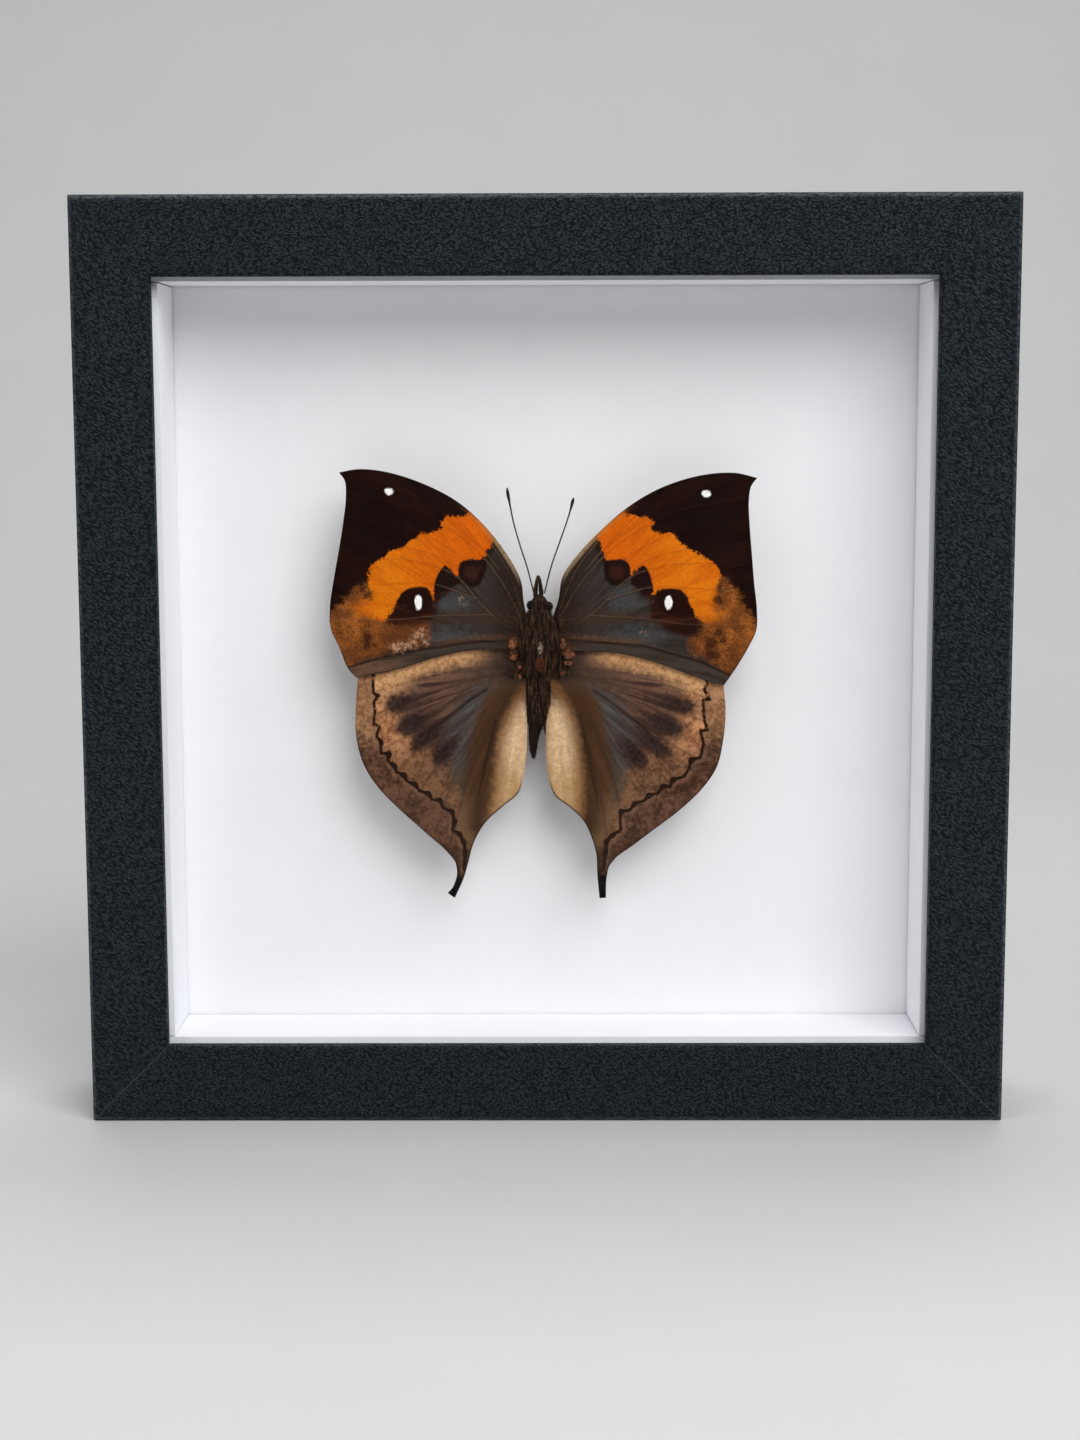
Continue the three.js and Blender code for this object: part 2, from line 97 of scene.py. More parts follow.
def grid_faces(rows, columns, closed=False):
    """The four corners of each cell of a grid numbered row by row. A closed grid joins its last column to
    its first."""
    row = np.arange(rows - 1)[:, None] * columns
    column = np.arange(columns if closed else columns - 1)[None, :]
    after = (column + 1) % columns
    corners = [row + column, row + after, row + columns + after, row + columns + column]
    return np.stack(corners, -1).reshape(-1, 4)


def signed_volume(places, faces):
    """The sum over all triangles of the volume between the triangle and the origin."""
    total = 0.0
    for corners in faces:
        first = places[corners[:, 0]]
        for k in range(1, corners.shape[1] - 1):
            normals = np.cross(places[corners[:, k]], places[corners[:, k + 1]])
            total += np.einsum("ij,ij->", first, normals) / 6
    return total


def add_piece(name, places, faces, stands_for=(), uv=None, values=None, sharp_over=50):
    """One mesh piece. Places are in millimetres, faces is a list of arrays of corner numbers, uv is a
    pair for each place and values holds named numbers for each place."""
    if signed_volume(places, faces) < 0:
        faces = [corners[:, ::-1] for corners in faces]
    mesh = bpy.data.meshes.new(name)
    mesh.vertices.add(len(places))
    mesh.vertices.foreach_set("co", (places * MM).astype(np.float32).ravel())
    corners = np.concatenate([f.ravel() for f in faces]).astype(np.int32)
    sizes = np.concatenate([np.full(len(f), f.shape[1]) for f in faces])
    mesh.loops.add(len(corners))
    mesh.loops.foreach_set("vertex_index", corners)
    mesh.polygons.add(len(sizes))
    mesh.polygons.foreach_set("loop_start", (np.cumsum(sizes) - sizes).astype(np.int32))
    mesh.update(calc_edges=True)
    mesh.shade_smooth()
    mesh.set_sharp_from_angle(angle=math.radians(sharp_over))
    if uv is not None:
        mesh.uv_layers.new(name="lay").data.foreach_set("uv", uv[corners].astype(np.float32).ravel())
    for key, value in (values or {}).items():
        mesh.attributes.new(key, "FLOAT", "POINT").data.foreach_set("value", value.astype(np.float32))
    piece = bpy.data.objects.new(name, mesh)
    bpy.context.scene.collection.objects.link(piece)
    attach(piece, "root")
    if stands_for:
        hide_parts(*stands_for)
    print(name, "has", int((sizes - 2).sum()), "triangles")
    return piece


def joined(parts):
    """Several (places, faces) pairs as one pair, with each part's corner numbers moved past the parts
    before it."""
    places, faces, start = [], [], 0
    for part_places, part_faces in parts:
        places.append(part_places)
        faces += [corners + start for corners in part_faces]
        start += len(part_places)
    return np.concatenate(places), faces


# %% [markdown]
# ## Words for finishes
# A finish is a small graph of shader nodes. Wiring each node by hand hides what the graph means, so this
# class gives short words for the few kinds of node that the finishes below need: noise, a value painted
# on the mesh, a soft step and a layer of colour over another. Colours are given as they look on a screen
# and turned into linear light here.

# %% Make finishes out of nodes


def ink(red, green, blue):
    """A screen colour, 0 to 255, as linear light: a straight line near black and a power curve above
    it."""
    screen = np.array([red, green, blue]) / 255
    linear = np.where(screen <= 0.04045, screen / 12.92, ((screen + 0.055) / 1.055) ** 2.4)
    return (*linear.tolist(), 1.0)


class Finish:
    """A node material around one Principled shader."""

    def __init__(self, name, **settings):
        self.material = bpy.data.materials.new(name)
        self.material.use_nodes = True
        self.tree = self.material.node_tree
        self.shader = self.tree.nodes["Principled BSDF"]
        for key, value in settings.items():
            self.put(key.replace("_", " "), value)
        self.where = self.scaled(self.add("TexCoord").outputs["Object"], 1 / MM)
        self.lay = self.add("UVMap", uv_map="lay").outputs[0]

    def put(self, key, value):
        """Sets or links one of the shader's own inputs."""
        names = {s.name.lower(): s for s in self.shader.inputs}
        self.link(names[key.lower()], value)

    def link(self, socket, value):
        if isinstance(value, bpy.types.NodeSocket):
            self.tree.links.new(value, socket)
        else:
            socket.default_value = value

    def add(self, kind, inputs=None, **settings):
        node = self.tree.nodes.new("ShaderNode" + kind)
        for key, value in settings.items():
            setattr(node, key, value)
        for key, value in (inputs or {}).items():
            self.link(node.inputs[key], value)
        return node

    def math(self, operation, *values):
        return self.add("Math", dict(enumerate(values)), operation=operation).outputs[0]

    def sum(self, total, *others):
        for other in others:
            total = self.math("ADD", total, other)
        return total

    def times(self, total, *others):
        for other in others:
            total = self.math("MULTIPLY", total, other)
        return total

    def either(self, a, b):
        return self.math("MAXIMUM", a, b)

    def inverse(self, a):
        return self.math("SUBTRACT", 1.0, a)

    def size(self, a):
        return self.math("ABSOLUTE", a)

    def moved(self, vector, offset):
        return self.add("VectorMath", {0: vector, 1: offset}, operation="ADD").outputs[0]

    def scaled(self, vector, amount):
        """A vector or a colour times one number."""
        return self.add("VectorMath", {0: vector, "Scale": amount}, operation="SCALE").outputs[0]

    def axes(self, vector):
        """The three numbers of a vector."""
        return self.add("SeparateXYZ", {0: vector}).outputs

    def value(self, name):
        """A number that the mesh carries at each of its places."""
        return self.add("Attribute", attribute_name=name).outputs["Fac"]

    def step(self, value, low, high):
        """A smooth step from 0 at low to 1 at high, or down where low is the larger."""
        return self.add("MapRange", {0: value, 1: low, 2: high},
                        interpolation_type="SMOOTHSTEP").outputs[0]

    def ramp(self, value, low, high, start, end):
        """A straight run from start, where the value is low, to end, where it is high."""
        return self.add("MapRange", {0: value, 1: low, 2: high, 3: start, 4: end}).outputs[0]

    def spread(self, value, low, high):
        """Moves a noise, which keeps close to a half, to run from low to high."""
        return self.ramp(value, 0.25, 0.75, low, high)

    def stretched(self, vector, scale, turn=0.0):
        """The same coordinates, scaled on each axis and turned in their plane."""
        return self.add("Mapping", {0: vector, "Scale": scale, "Rotation": (0, 0, turn)}).outputs[0]

    def noise(self, vector, scale, detail=2.0, roughness=0.5, distortion=0.0):
        inputs = {"Vector": vector, "Scale": scale, "Detail": detail, "Roughness": roughness,
                  "Distortion": distortion}
        return self.add("TexNoise", inputs).outputs["Fac"]

    def cells(self, vector, scale, **settings):
        """The distance to the nearest of scattered points, or, as a feature, to the wall between their
        cells."""
        return self.add("TexVoronoi", {"Vector": vector, "Scale": scale}, **settings).outputs["Distance"]

    def mix(self, amount, under, over):
        """One colour over another by an amount from 0 to 1."""
        return self.add("Mix", {0: amount, 6: under, 7: over}, data_type="RGBA").outputs[2]

    def blend(self, amount, under, over):
        """One number over another by an amount from 0 to 1."""
        return self.add("Mix", {0: amount, 2: under, 3: over}).outputs[0]

    def tones(self, value, low, high, first, second):
        """From a first screen colour to a second, as a value steps from low to high."""
        return self.mix(self.step(value, low, high), ink(*first), ink(*second))

    def oval(self, x, y, half_width, half_height):
        """A soft oval on the butterfly, placed from the pin: 1 inside, falling to 0 at its edge."""
        offset = self.moved(self.where, (-PIN_X - x, 0, -PIN_Z - y))
        share = (1 / half_width, 0, 1 / half_height)
        shares = self.add("VectorMath", {0: offset, 1: share}, operation="MULTIPLY").outputs[0]
        away = self.add("VectorMath", {0: shares}, operation="LENGTH").outputs["Value"]
        return self.step(away, 1.1, 0.6)

    def bump(self, height, depth):
        """Presses a height pattern, 0 to 1, into the surface, to a depth in millimetres."""
        node = self.add("Bump", {"Height": height, "Distance": depth * MM})
        self.put("Normal", node.outputs[0])


def dress(finish, *pieces):
    """Gives pieces, or solid pieces by their names, a finish."""
    for piece in pieces:
        mesh = (nodes[piece] if isinstance(piece, str) else piece).data
        mesh.materials.clear()
        mesh.materials.append(finish.material)
    print(finish.material.name, "is on", len(pieces), "pieces")


# %% [markdown]
# ## The rails
# Each rail is a wood moulding wrapped in black leatherette, cut at 45 degrees at both ends. A moulding is
# a profile carried along a line. The profile is drawn once, and each of its points runs as far as the
# mitre lets it. The wrap turns in a little at the mitre, so that the joint shows as a fine groove. One
# rail is made, and three are turned copies of it.

# %% Make the four rails
rail_low, rail_high = (np.array(c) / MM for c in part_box("frame_rail_bottom"))
HALF_SIDE = rail_high[0] + 0.1
MITRE_GAP = 0.01
RAIL_FACE = rail_high[2]
RAIL_DEPTH = rail_high[1] - rail_low[1]
LIP_DEPTH, LIP_REACH = 3.0, 4.5
OUTER_ROUND, INNER_ROUND, BACK_ROUND = 2.0, 0.8, 1.0
RAIL_STEPS = 170
GROOVE_DEPTH, GROOVE_WIDTH = 0.07, 0.3


def line(start, end, steps):
    """Evenly spaced points from start up to, but not at, end."""
    return np.linspace(start, end, steps, endpoint=False)


def arc(middle, radius, first, last, steps):
    """Points on a quarter circle, angles in quarter turns."""
    angle = np.linspace(first, last, steps, endpoint=False) * np.pi / 2
    return np.stack([middle[0] + radius * np.cos(angle), middle[1] + radius * np.sin(angle)], -1)


def rail_profile():
    """The closed outline of the moulding: distance in from the outer edge, and back from the front face.
    It starts inside the rebate, where the pattern's seam can't be seen."""
    wall, face, deep = RAIL_FACE - LIP_REACH, RAIL_FACE, RAIL_DEPTH
    return np.concatenate([
        line((wall, LIP_DEPTH), (wall, deep), 14),
        line((wall, deep), (BACK_ROUND, deep), 10),
        arc((BACK_ROUND, deep - BACK_ROUND), BACK_ROUND, 1, 2, 5),
        line((0, deep - BACK_ROUND), (0, OUTER_ROUND), 16),
        arc((OUTER_ROUND, OUTER_ROUND), OUTER_ROUND, 2, 3, 8),
        line((OUTER_ROUND, 0), (face - INNER_ROUND, 0), 16),
        arc((face - INNER_ROUND, INNER_ROUND), INNER_ROUND, 3, 4, 6),
        line((face, INNER_ROUND), (face, LIP_DEPTH), 4),
        line((face, LIP_DEPTH), (wall, LIP_DEPTH), 5),
    ])


def rail_surface():
    """The profile carried along the rail. A point that lies further in runs less far, by the mitre's 45
    degrees, and near the mitre it sinks along the profile's normal by a bell curve of its distance from
    the joint."""
    profile = rail_profile()
    after, before = np.roll(profile, -1, 0), np.roll(profile, 1, 0)
    tangent = after - before
    inward = np.stack([-tangent[:, 1], tangent[:, 0]], -1)
    inward /= np.linalg.norm(inward, axis=1, keepdims=True)
    share = np.sin(np.linspace(-1, 1, RAIL_STEPS) * np.pi / 2)
    reach = HALF_SIDE - profile[:, 0] - MITRE_GAP
    along = share[:, None] * reach[None, :]
    to_joint = reach[None, :] - np.abs(along)
    sink = GROOVE_DEPTH * np.exp(-((to_joint / GROOVE_WIDTH) ** 2))
    section = profile[None] + inward[None] * sink[..., None]
    places = np.stack([along, rail_low[1] + section[..., 1], section[..., 0] - HALF_SIDE], -1)
    round_length = np.cumsum(np.linalg.norm(profile - before, axis=1))
    uv = np.stack(np.broadcast_arrays(along, round_length[None, :]), -1)
    count = len(profile)
    ring = np.arange(count)[None, :]
    faces = [grid_faces(RAIL_STEPS, count, closed=True), ring[:, ::-1], ring + (RAIL_STEPS - 1) * count]
    return places.reshape(-1, 3), faces, uv.reshape(-1, 2), to_joint.ravel()


QUARTER_TURNS = {"bottom": 0, "left": 1, "top": 2, "right": 3}
ALONG_GRAIN, ACROSS_GRAIN = (0.7, 1.0, 0.0), (1.0, 0.55, 0.5)
RAIL_SHIFT = 60
GRAIN = {"bottom": ALONG_GRAIN, "left": ACROSS_GRAIN, "top": ALONG_GRAIN, "right": ACROSS_GRAIN}


def make_rails():
    """The bottom rail and its copies, each turned by quarter turns about the frame's middle. The grain's
    own lengths are stretched, leaned and shifted on each, so that no two rails have the same pebbles."""
    places, faces, uv, to_joint = rail_surface()
    rails = []
    for number, (side, turns) in enumerate(QUARTER_TURNS.items()):
        cosine, sine = round(math.cos(turns * np.pi / 2)), round(math.sin(turns * np.pi / 2))
        x, y, z = places.T
        turned_places = np.stack([cosine * x + sine * z, y, HALF_SIDE - sine * x + cosine * z], -1)
        stretch_along, stretch_round, lean = GRAIN[side]
        laid_along = (uv[:, 0] - lean * uv[:, 1]) * stretch_along
        shifted = np.stack([laid_along, uv[:, 1] * stretch_round + RAIL_SHIFT * number], -1)
        name = "leather_rail_" + side
        rails.append(add_piece(name, turned_places, faces, ["frame_rail_" + side],
                               shifted, {"joint": to_joint}))
    return rails


rails = make_rails()

# %% [markdown]
# The leatherette is a black plastic skin, pressed with a fine grain of pebbles in two sizes and crossed
# by thin creases. A pebble is highest at one of the scattered points of a Voronoi pattern and falls away
# round it, and a crease runs where a slow noise passes its middle value. The pattern runs on the rail's
# own lengths, so it turns the corner with the wrap. The tops are smoother than the hollows. Their colour
# is painted light: the tops are painted lighter, as a painted highlight, and the hollows near black, as
# painted shade. The outer front edge is painted grey, as a painted highlight along its rounding, and the
# lower joints are rubbed grey.

# %% Black leatherette
SHADED_HOLLOW_BLACK, LIT_TOP_BLACK = (0.0002, 0.0004, 0.0008, 1), (0.023, 0.029, 0.0385, 1)
EDGE_HIGHLIGHT_GREY, JOINT_GREY = (0.085, 0.09, 0.098, 1), (0.12, 0.125, 0.125, 1)
COOL_GLOSS = (0.72, 0.88, 1.0, 1.0)


def black_leatherette():
    f = Finish("grained_black", Specular_IOR_Level=0.35, Specular_Tint=COOL_GLOSS)
    bend = f.add("TexNoise", {"Vector": f.lay, "Scale": 0.3, "Detail": 2.0}).outputs["Color"]
    laid = f.moved(f.lay, f.scaled(bend, 2.0))
    pebbles = f.inverse(f.cells(laid, 2.1, voronoi_dimensions="2D"))
    small = f.inverse(f.cells(laid, 4.2, voronoi_dimensions="2D"))
    wrinkle = f.noise(f.stretched(laid, (0.7, 0.6, 1)), 1.0, 2.0, 0.6)
    creases = f.step(f.size(f.sum(wrinkle, -0.5)), 0.0, 0.05)
    height = f.sum(f.times(pebbles, 0.55), f.times(small, 0.25), f.times(creases, 0.2))
    f.bump(height, 0.3)
    # Painted highlight and painted shade: the grain's tops are painted lighter and its hollows near
    # black.
    worn = f.times(f.step(height, 0.5, 0.95), f.spread(f.noise(f.lay, 0.1, 2.0), 0.7, 1.0))
    skin = f.mix(worn, SHADED_HOLLOW_BLACK, LIT_TOP_BLACK)
    # Painted highlight: the outer front edge of all four rails is painted grey where its rounding meets
    # the light.
    x, y, z = f.axes(f.where)
    from_middle = f.either(f.size(x), f.size(f.sum(z, -HALF_SIDE)))
    at_edge = f.step(from_middle, HALF_SIDE - 1.3, HALF_SIDE - 0.5)
    at_front = f.step(y, rail_low[1] + 1.6, rail_low[1] + 0.7)
    rubbed = f.times(at_edge, at_front, f.step(f.noise(f.lay, 1.1, 2.0), 0.3, 0.7))
    skin = f.mix(rubbed, skin, EDGE_HIGHLIGHT_GREY)
    low_joints = f.sum(f.times(f.step(z, 90.0, 20.0), 0.22), 0.04)
    f.put("Base Color", f.mix(f.times(f.step(f.value("joint"), 0.3, 0.05), low_joints), skin, JOINT_GREY))
    f.put("Roughness", f.ramp(height, 0.5, 0.98, 0.9, 0.25))
    return f


dress(black_leatherette(), *rails)

# %% [markdown]
# ## Glass, card and board
# The glass is the solid pane itself with a clear finish. It lets the lamps' light straight through, as a
# thin pane does, and its gloss is that of glass with an anti-glare coating, so the dark wings stay dark
# behind it. The liner and the board are white card with a faint tooth. The liner's card is painted a
# little cooler and whiter than the board's, as painted light that lifts the shade on its walls.

# %% Clear glass and white card


def clear_glass():
    return Finish("pane_glass", Base_Color=(1, 1, 1, 1), Roughness=0.0, Transmission_Weight=1.0, IOR=1.1)


def white_card(name, dull, bright, tooth):
    """Card with a paper tooth: fine fibres and a faint cloudiness between two whites."""
    f = Finish(name, Specular_IOR_Level=0.2)
    cloud = f.noise(f.where, 0.06, 1.0)
    fibres = f.noise(f.stretched(f.where, (1, 1, 0.35)), 3.5, 2.0, 0.65)
    f.put("Base Color", f.mix(f.times(f.sum(cloud, fibres), 0.5), dull, bright))
    f.put("Roughness", f.spread(fibres, 0.8, 0.95))
    f.bump(fibres, tooth)
    return f


dress(clear_glass(), "glass_pane")
nodes["glass_pane"].visible_shadow = False
dress(white_card("board_card", ink(236, 237, 240), ink(244, 245, 247), 0.03), "mount_board")
LINER_SIDES = ("top", "bottom", "left", "right")
# Painted light: the liner is painted whiter and cooler than the board, to lift the shade on its walls.
liner = white_card("liner_card", ink(243, 244, 249), ink(250, 251, 254), 0.04)
dress(liner, *("liner_wall_" + side for side in LINER_SIDES))

# %% [markdown]
# ## The back
# The back is plain: a sheet of brown hardboard, held by bent clips, and a toothed plate to hang it by.
# The hardboard's finish is short fibres pressed flat, drawn as stretched noise in two directions. The
# metal is zinc plate, whose crystals show as faint patches of different shine.

# %% Hardboard and zinc plate


def brown_hardboard():
    f = Finish("brown_hardboard", Specular_IOR_Level=0.3)
    across = f.noise(f.stretched(f.where, (0.5, 1, 4.0)), 0.9, 4.0, 0.7)
    upward = f.noise(f.stretched(f.where, (4.0, 1, 0.6), 0.4), 0.8, 4.0, 0.7)
    flecks = f.step(f.noise(f.where, 2.2, 2.0), 0.62, 0.72)
    fibre = f.times(f.sum(across, upward), 0.5)
    board = f.mix(f.spread(fibre, 0.0, 1.0), ink(104, 74, 46), ink(142, 106, 70))
    f.put("Base Color", f.mix(f.times(flecks, 0.5), board, ink(70, 48, 28)))
    f.put("Roughness", f.spread(fibre, 0.7, 0.9))
    f.bump(fibre, 0.12)
    return f


def zinc_plate():
    f = Finish("zinc_plate", Metallic=1.0)
    crystals = f.noise(f.where, 0.8, 2.0, 0.6, 1.5)
    scratches = f.noise(f.stretched(f.where, (6, 6, 0.4)), 1.0, 2.0)
    f.put("Base Color", f.mix(crystals, (0.42, 0.43, 0.45, 1), (0.62, 0.63, 0.64, 1)))
    f.put("Roughness", f.sum(f.spread(crystals, 0.26, 0.42), f.times(scratches, 0.08)))
    f.bump(scratches, 0.01)
    return f


dress(brown_hardboard(), "back_panel")
dress(zinc_plate(), "hanger_plate", *(n for n in nodes if n.startswith("back_clip_")))

# %% [markdown]
# ## The wings' shape
# A wing is a thin sheet between four edges. Its edges are smooth curves through a few measured points,
# and the sheet between them is a Coons patch: the blend of the two long edges, plus the blend of the two
# short ones, less the blend of the corners, which would otherwise count twice. The points are millimetres
# from the pin, x to the right and y up, the same as in the solid model, so each wing lies exactly where
# its solid does.

# %% Curves and patches
PIN_ABOVE = 2.5
pin_low, pin_high = (np.array(c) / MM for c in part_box("pin"))
PIN_X, PIN_Z = (pin_low[0] + pin_high[0]) / 2, (pin_low[2] + pin_high[2]) / 2
WING_PLANE = pin_low[1] + PIN_ABOVE


def stood_up(flat):
    """Places laid out flat from the pin, with z towards the viewer, as places in the upright frame."""
    return np.stack([PIN_X + flat[:, 0], WING_PLANE - flat[:, 2], PIN_Z + flat[:, 1]], -1)


def smooth_curve(points, steps):
    """A curve through points. Between two of them it is a cubic whose end slopes come from their
    neighbours, each weighted by the square root of its distance. The steps share the stretches between
    points evenly."""
    p = np.asarray(points, float)
    p = np.vstack([2 * p[0] - p[1], p, 2 * p[-1] - p[-2]])
    t = np.linspace(0, 1, steps) * (len(points) - 1)
    i = np.minimum(t.astype(int), len(points) - 2)
    w = (t - i)[:, None]
    a, b, c, d = (p[i + k] for k in range(4))
    steps_between = (b - a, c - b, d - c)
    before, here, after = (np.sqrt(np.linalg.norm(q, axis=1))[:, None] for q in steps_between)
    first = ((b - a) / before - (c - a) / (before + here) + (c - b) / here) * here
    last = ((c - b) / here - (d - b) / (here + after) + (d - c) / after) * here
    return b + first * w + (3 * (c - b) - 2 * first - last) * w**2 + (2 * (b - c) + first + last) * w**3


def coons_patch(low, high, start, end, along, across):
    """The sheet between two long edges, low and high, and two short ones, start and end, as an (along,
    across, 2) grid: (1 - v) low + v high + (1 - u) start + u end, less the same blend of the four
    corners."""
    u = np.linspace(0, 1, along)[:, None, None]
    v = np.linspace(0, 1, across)[None, :, None]
    low, high = smooth_curve(low, along)[:, None], smooth_curve(high, along)[:, None]
    start, end = smooth_curve(start, across)[None], smooth_curve(end, across)[None]
    corners = (1 - u) * ((1 - v) * low[0] + v * high[0]) + u * ((1 - v) * low[-1] + v * high[-1])
    return (1 - v) * low + v * high + (1 - u) * start + u * end - corners


def distance_to_path(places, path):
    """The least distance from each place to the straight stretches of a path."""
    path = np.asarray(path, float)
    best = np.full(len(places), np.inf)
    for a, b in zip(path[:-1], path[1:]):
        share = np.clip((places - a) @ (b - a) / max((b - a) @ (b - a), 1e-12), 0, 1)
        best = np.minimum(best, np.linalg.norm(places - a - share[:, None] * (b - a), axis=1))
    return best


def depth_inside(places, outline):
    """How far each place lies inside a closed outline, less than nothing outside. A place is inside when
    a line from it to the right crosses the outline an odd number of times."""
    closed = np.vstack([outline, outline[:1]]).astype(float)
    x, y = places.T
    inside = np.zeros(len(places), bool)
    for a, b in zip(closed[:-1], closed[1:]):
        rise = b[1] - a[1] if b[1] != a[1] else 1e-9
        inside ^= ((a[1] > y) != (b[1] > y)) & (x < a[0] + (y - a[1]) * (b[0] - a[0]) / rise)
    return np.where(inside, 1, -1) * distance_to_path(places, closed)


def rounded(outline, fine=6):
    """An outline as a closed smooth curve, with a few steps between its points."""
    loop = [*outline[-2:], *outline, *outline[:3]]
    curve = smooth_curve(loop, (len(loop) - 1) * fine + 1)
    return curve[2 * fine:(2 + len(outline)) * fine]


def depth_in_oval(places, middle, half_width, half_height):
    """About how far each place lies inside an upright oval."""
    offset = (places - middle) / (half_width, half_height)
    return (1 - np.linalg.norm(offset, axis=1)) * min(half_width, half_height)


# %% [markdown]
# Each wing's outline follows. A forewing's costa is its leading edge, and its outer edge runs from the
# tip to the rear corner. A hindwing's outer and inner edges both run down to the tip of its tail. The two
# sides are measured apart, because a set specimen is never quite even.

# %% The outlines of the wings
FOREWINGS = {
    "left": {
        "costa": [(-3.4, 5.5), (-3.3, 10), (-4, 14.9), (-7.4, 21.1), (-12.2, 27.1), (-17.9, 32.1),
                  (-25, 35.8), (-32.7, 38.3), (-39, 39), (-43.3, 38.3)],
        "outer": [(-43.3, 38.3), (-42.1, 36.5), (-41.9, 32.6), (-42.5, 27.7), (-43.6, 21.3),
                  (-44.8, 14.9), (-45.7, 9), (-45.6, 4.5), (-43.7, 0), (-41.9, -4.5), (-40.1, -6.5)],
        "inner": [(-3.9, -0.5), (-10, -0.3), (-16, -0.7), (-22, -1.9), (-30, -4.4), (-36, -5.8),
                  (-40.1, -6.5)],
    },
    "right": {
        "costa": [(3.6, 5.5), (4.2, 10.4), (5.2, 15.6), (8.8, 20.7), (13.7, 25.8), (20, 31.1), (27, 35),
                  (35.3, 37.5), (42.5, 38), (47.4, 36.9)],
        "outer": [(47.4, 36.9), (46.1, 35.1), (45.6, 31.7), (45.8, 27.1), (46.4, 20.2), (46.9, 14.4),
                  (47.6, 8), (47.5, 3.8), (45.8, 0), (43.2, -4.4), (40.6, -8.3)],
        "inner": [(3.9, -0.5), (11, -0.9), (18, -1.4), (25, -3.1), (32, -5.6), (37.5, -7.6),
                  (40.6, -8.3)],
    },
}
HINDWINGS = {
    "left": {
        "costa": [(-3.9, -5), (-10, 1.2), (-20, 1.8), (-30, -0.4), (-37, -3.8), (-39.8, -6.5)],
        "outer": [(-39.8, -6.5), (-40.4, -13), (-40.4, -19.5), (-39, -25.5), (-35.9, -30.8),
                  (-31.3, -35.7), (-25.3, -41.2), (-20.8, -45.3), (-18.5, -48.3), (-17.9, -51),
                  (-18.9, -53.1), (-20.5, -54.9)],
        "inner": [(-3.9, -5), (-2.9, -12), (-2.7, -18), (-2.9, -24), (-3.6, -29), (-4.8, -32.6),
                  (-8.2, -35.5), (-12, -39), (-14.6, -43.5), (-16, -48.5), (-17, -51.8), (-18.9, -56)],
    },
    "right": {
        "costa": [(3.9, -5), (10, 1.2), (20, 1.2), (30, -1.4), (37.5, -5), (40.5, -8)],
        "outer": [(40.5, -8), (41, -14.5), (40.6, -20), (39.2, -26.5), (36, -31.4), (31.5, -35.8),
                  (25.6, -40.4), (20.6, -44.2), (17, -46.9), (15.2, -49.4), (14.8, -52), (14.7, -56)],
        "inner": [(3.9, -5), (2.3, -11), (1.6, -16.8), (1.4, -22), (1.9, -28), (3.3, -32.9), (7, -35.9),
                  (9.8, -38.7), (11.6, -42.5), (12.6, -46.4), (12.8, -50.6), (13.3, -56.1)],
    },
}
for side in ("left", "right"):
    tip, root = np.array(FOREWINGS[side]["costa"][-1]), np.array(FOREWINGS[side]["costa"][0])
    print("the", side, "forewing is", round(float(np.linalg.norm(tip - root)), 1), "mm long")

# %% [markdown]
# Veins stiffen a wing as ribs stiffen an umbrella. They fan out from the base to the outer edge, and the
# membrane sinks a little between them. They are drawn once, for a right wing, and carried to the left one
# by the affine map that takes three of its corners to the other wing's. Each is a small ridge in the
# sheet, and the paint reads the distance to it too.

# %% The veins
FOREWING_VEINS = [
    [(3.8, 3), (7, 4.4), (13.3, 9), (19.7, 15.4), (30, 18.3), (46.5, 17.8)],
    [(15, 10.6), (25, 13.4), (36, 12.8), (47, 12)],
    [(11, 7.2), (22, 6.5), (34, 5), (47.4, 4.5)],
    [(4, 0.5), (15, 1.2), (30, -1.5), (42.5, -4.5)],
    [(19.7, 15.4), (22, 18.5), (32, 21.3), (46.2, 22.2)],
    [(20, 20.5), (30, 25.2), (45.8, 27.2)],
    [(4.2, 6), (9, 14), (17, 22.5), (30, 29.6), (45.7, 32.6)],
    [(15.5, 22.5), (28, 31.2), (44, 37)],
    [(13, 20.5), (24, 29.7), (35, 36.6)],
    [(10, 17), (18, 25.7), (26, 33.6)],
    [(4.3, 8), (8, 16.8), (14, 24.7)],
]
HINDWING_VEINS = [
    [(4, -5), (15, -5), (39.5, -12)],
    [(4, -5), (16, -8), (40, -18)],
    [(4, -5), (16, -10), (25.5, -19), (38, -26.5)],
    [(14, -11), (24, -22), (33, -34)],
    [(13, -13), (20, -26), (27, -39.5)],
    [(11, -14), (16.5, -30), (19.5, -46)],
    [(4.5, -7), (7, -13), (13, -30), (15.5, -48)],
    [(4.2, -7), (8.5, -18), (9.5, -26), (10, -36)],
]
VEIN_STEPS = 24


def affine(source, target):
    """The 3 x 2 matrix that takes three points, each with a 1 added, to three others."""
    return np.linalg.solve(np.column_stack([source, np.ones(3)]), np.asarray(target, float))


def carried(points, map_matrix):
    """Points moved by an affine map."""
    return np.column_stack([points, np.ones(len(points))]) @ map_matrix


def wing_corners(outline):
    """The base, the outer end of the leading edge and the last point of the outer edge of one wing."""
    return [outline["inner"][0], outline["outer"][0], outline["outer"][-1]]


def veins_of(veins, wings, side):
    """The veins of one side's wing as smooth paths."""
    across = affine(wing_corners(wings["right"]), wing_corners(wings[side]))
    return [smooth_curve(carried(np.array(vein), across), VEIN_STEPS) for vein in veins]


def vein_distance(flat, veins, wings, side):
    """How far each place is from the nearest vein of one side's wing."""
    return np.min([distance_to_path(flat, path) for path in veins_of(veins, wings, side)], axis=0)


print("a forewing has", len(FOREWING_VEINS), "veins and a hindwing", len(HINDWING_VEINS))

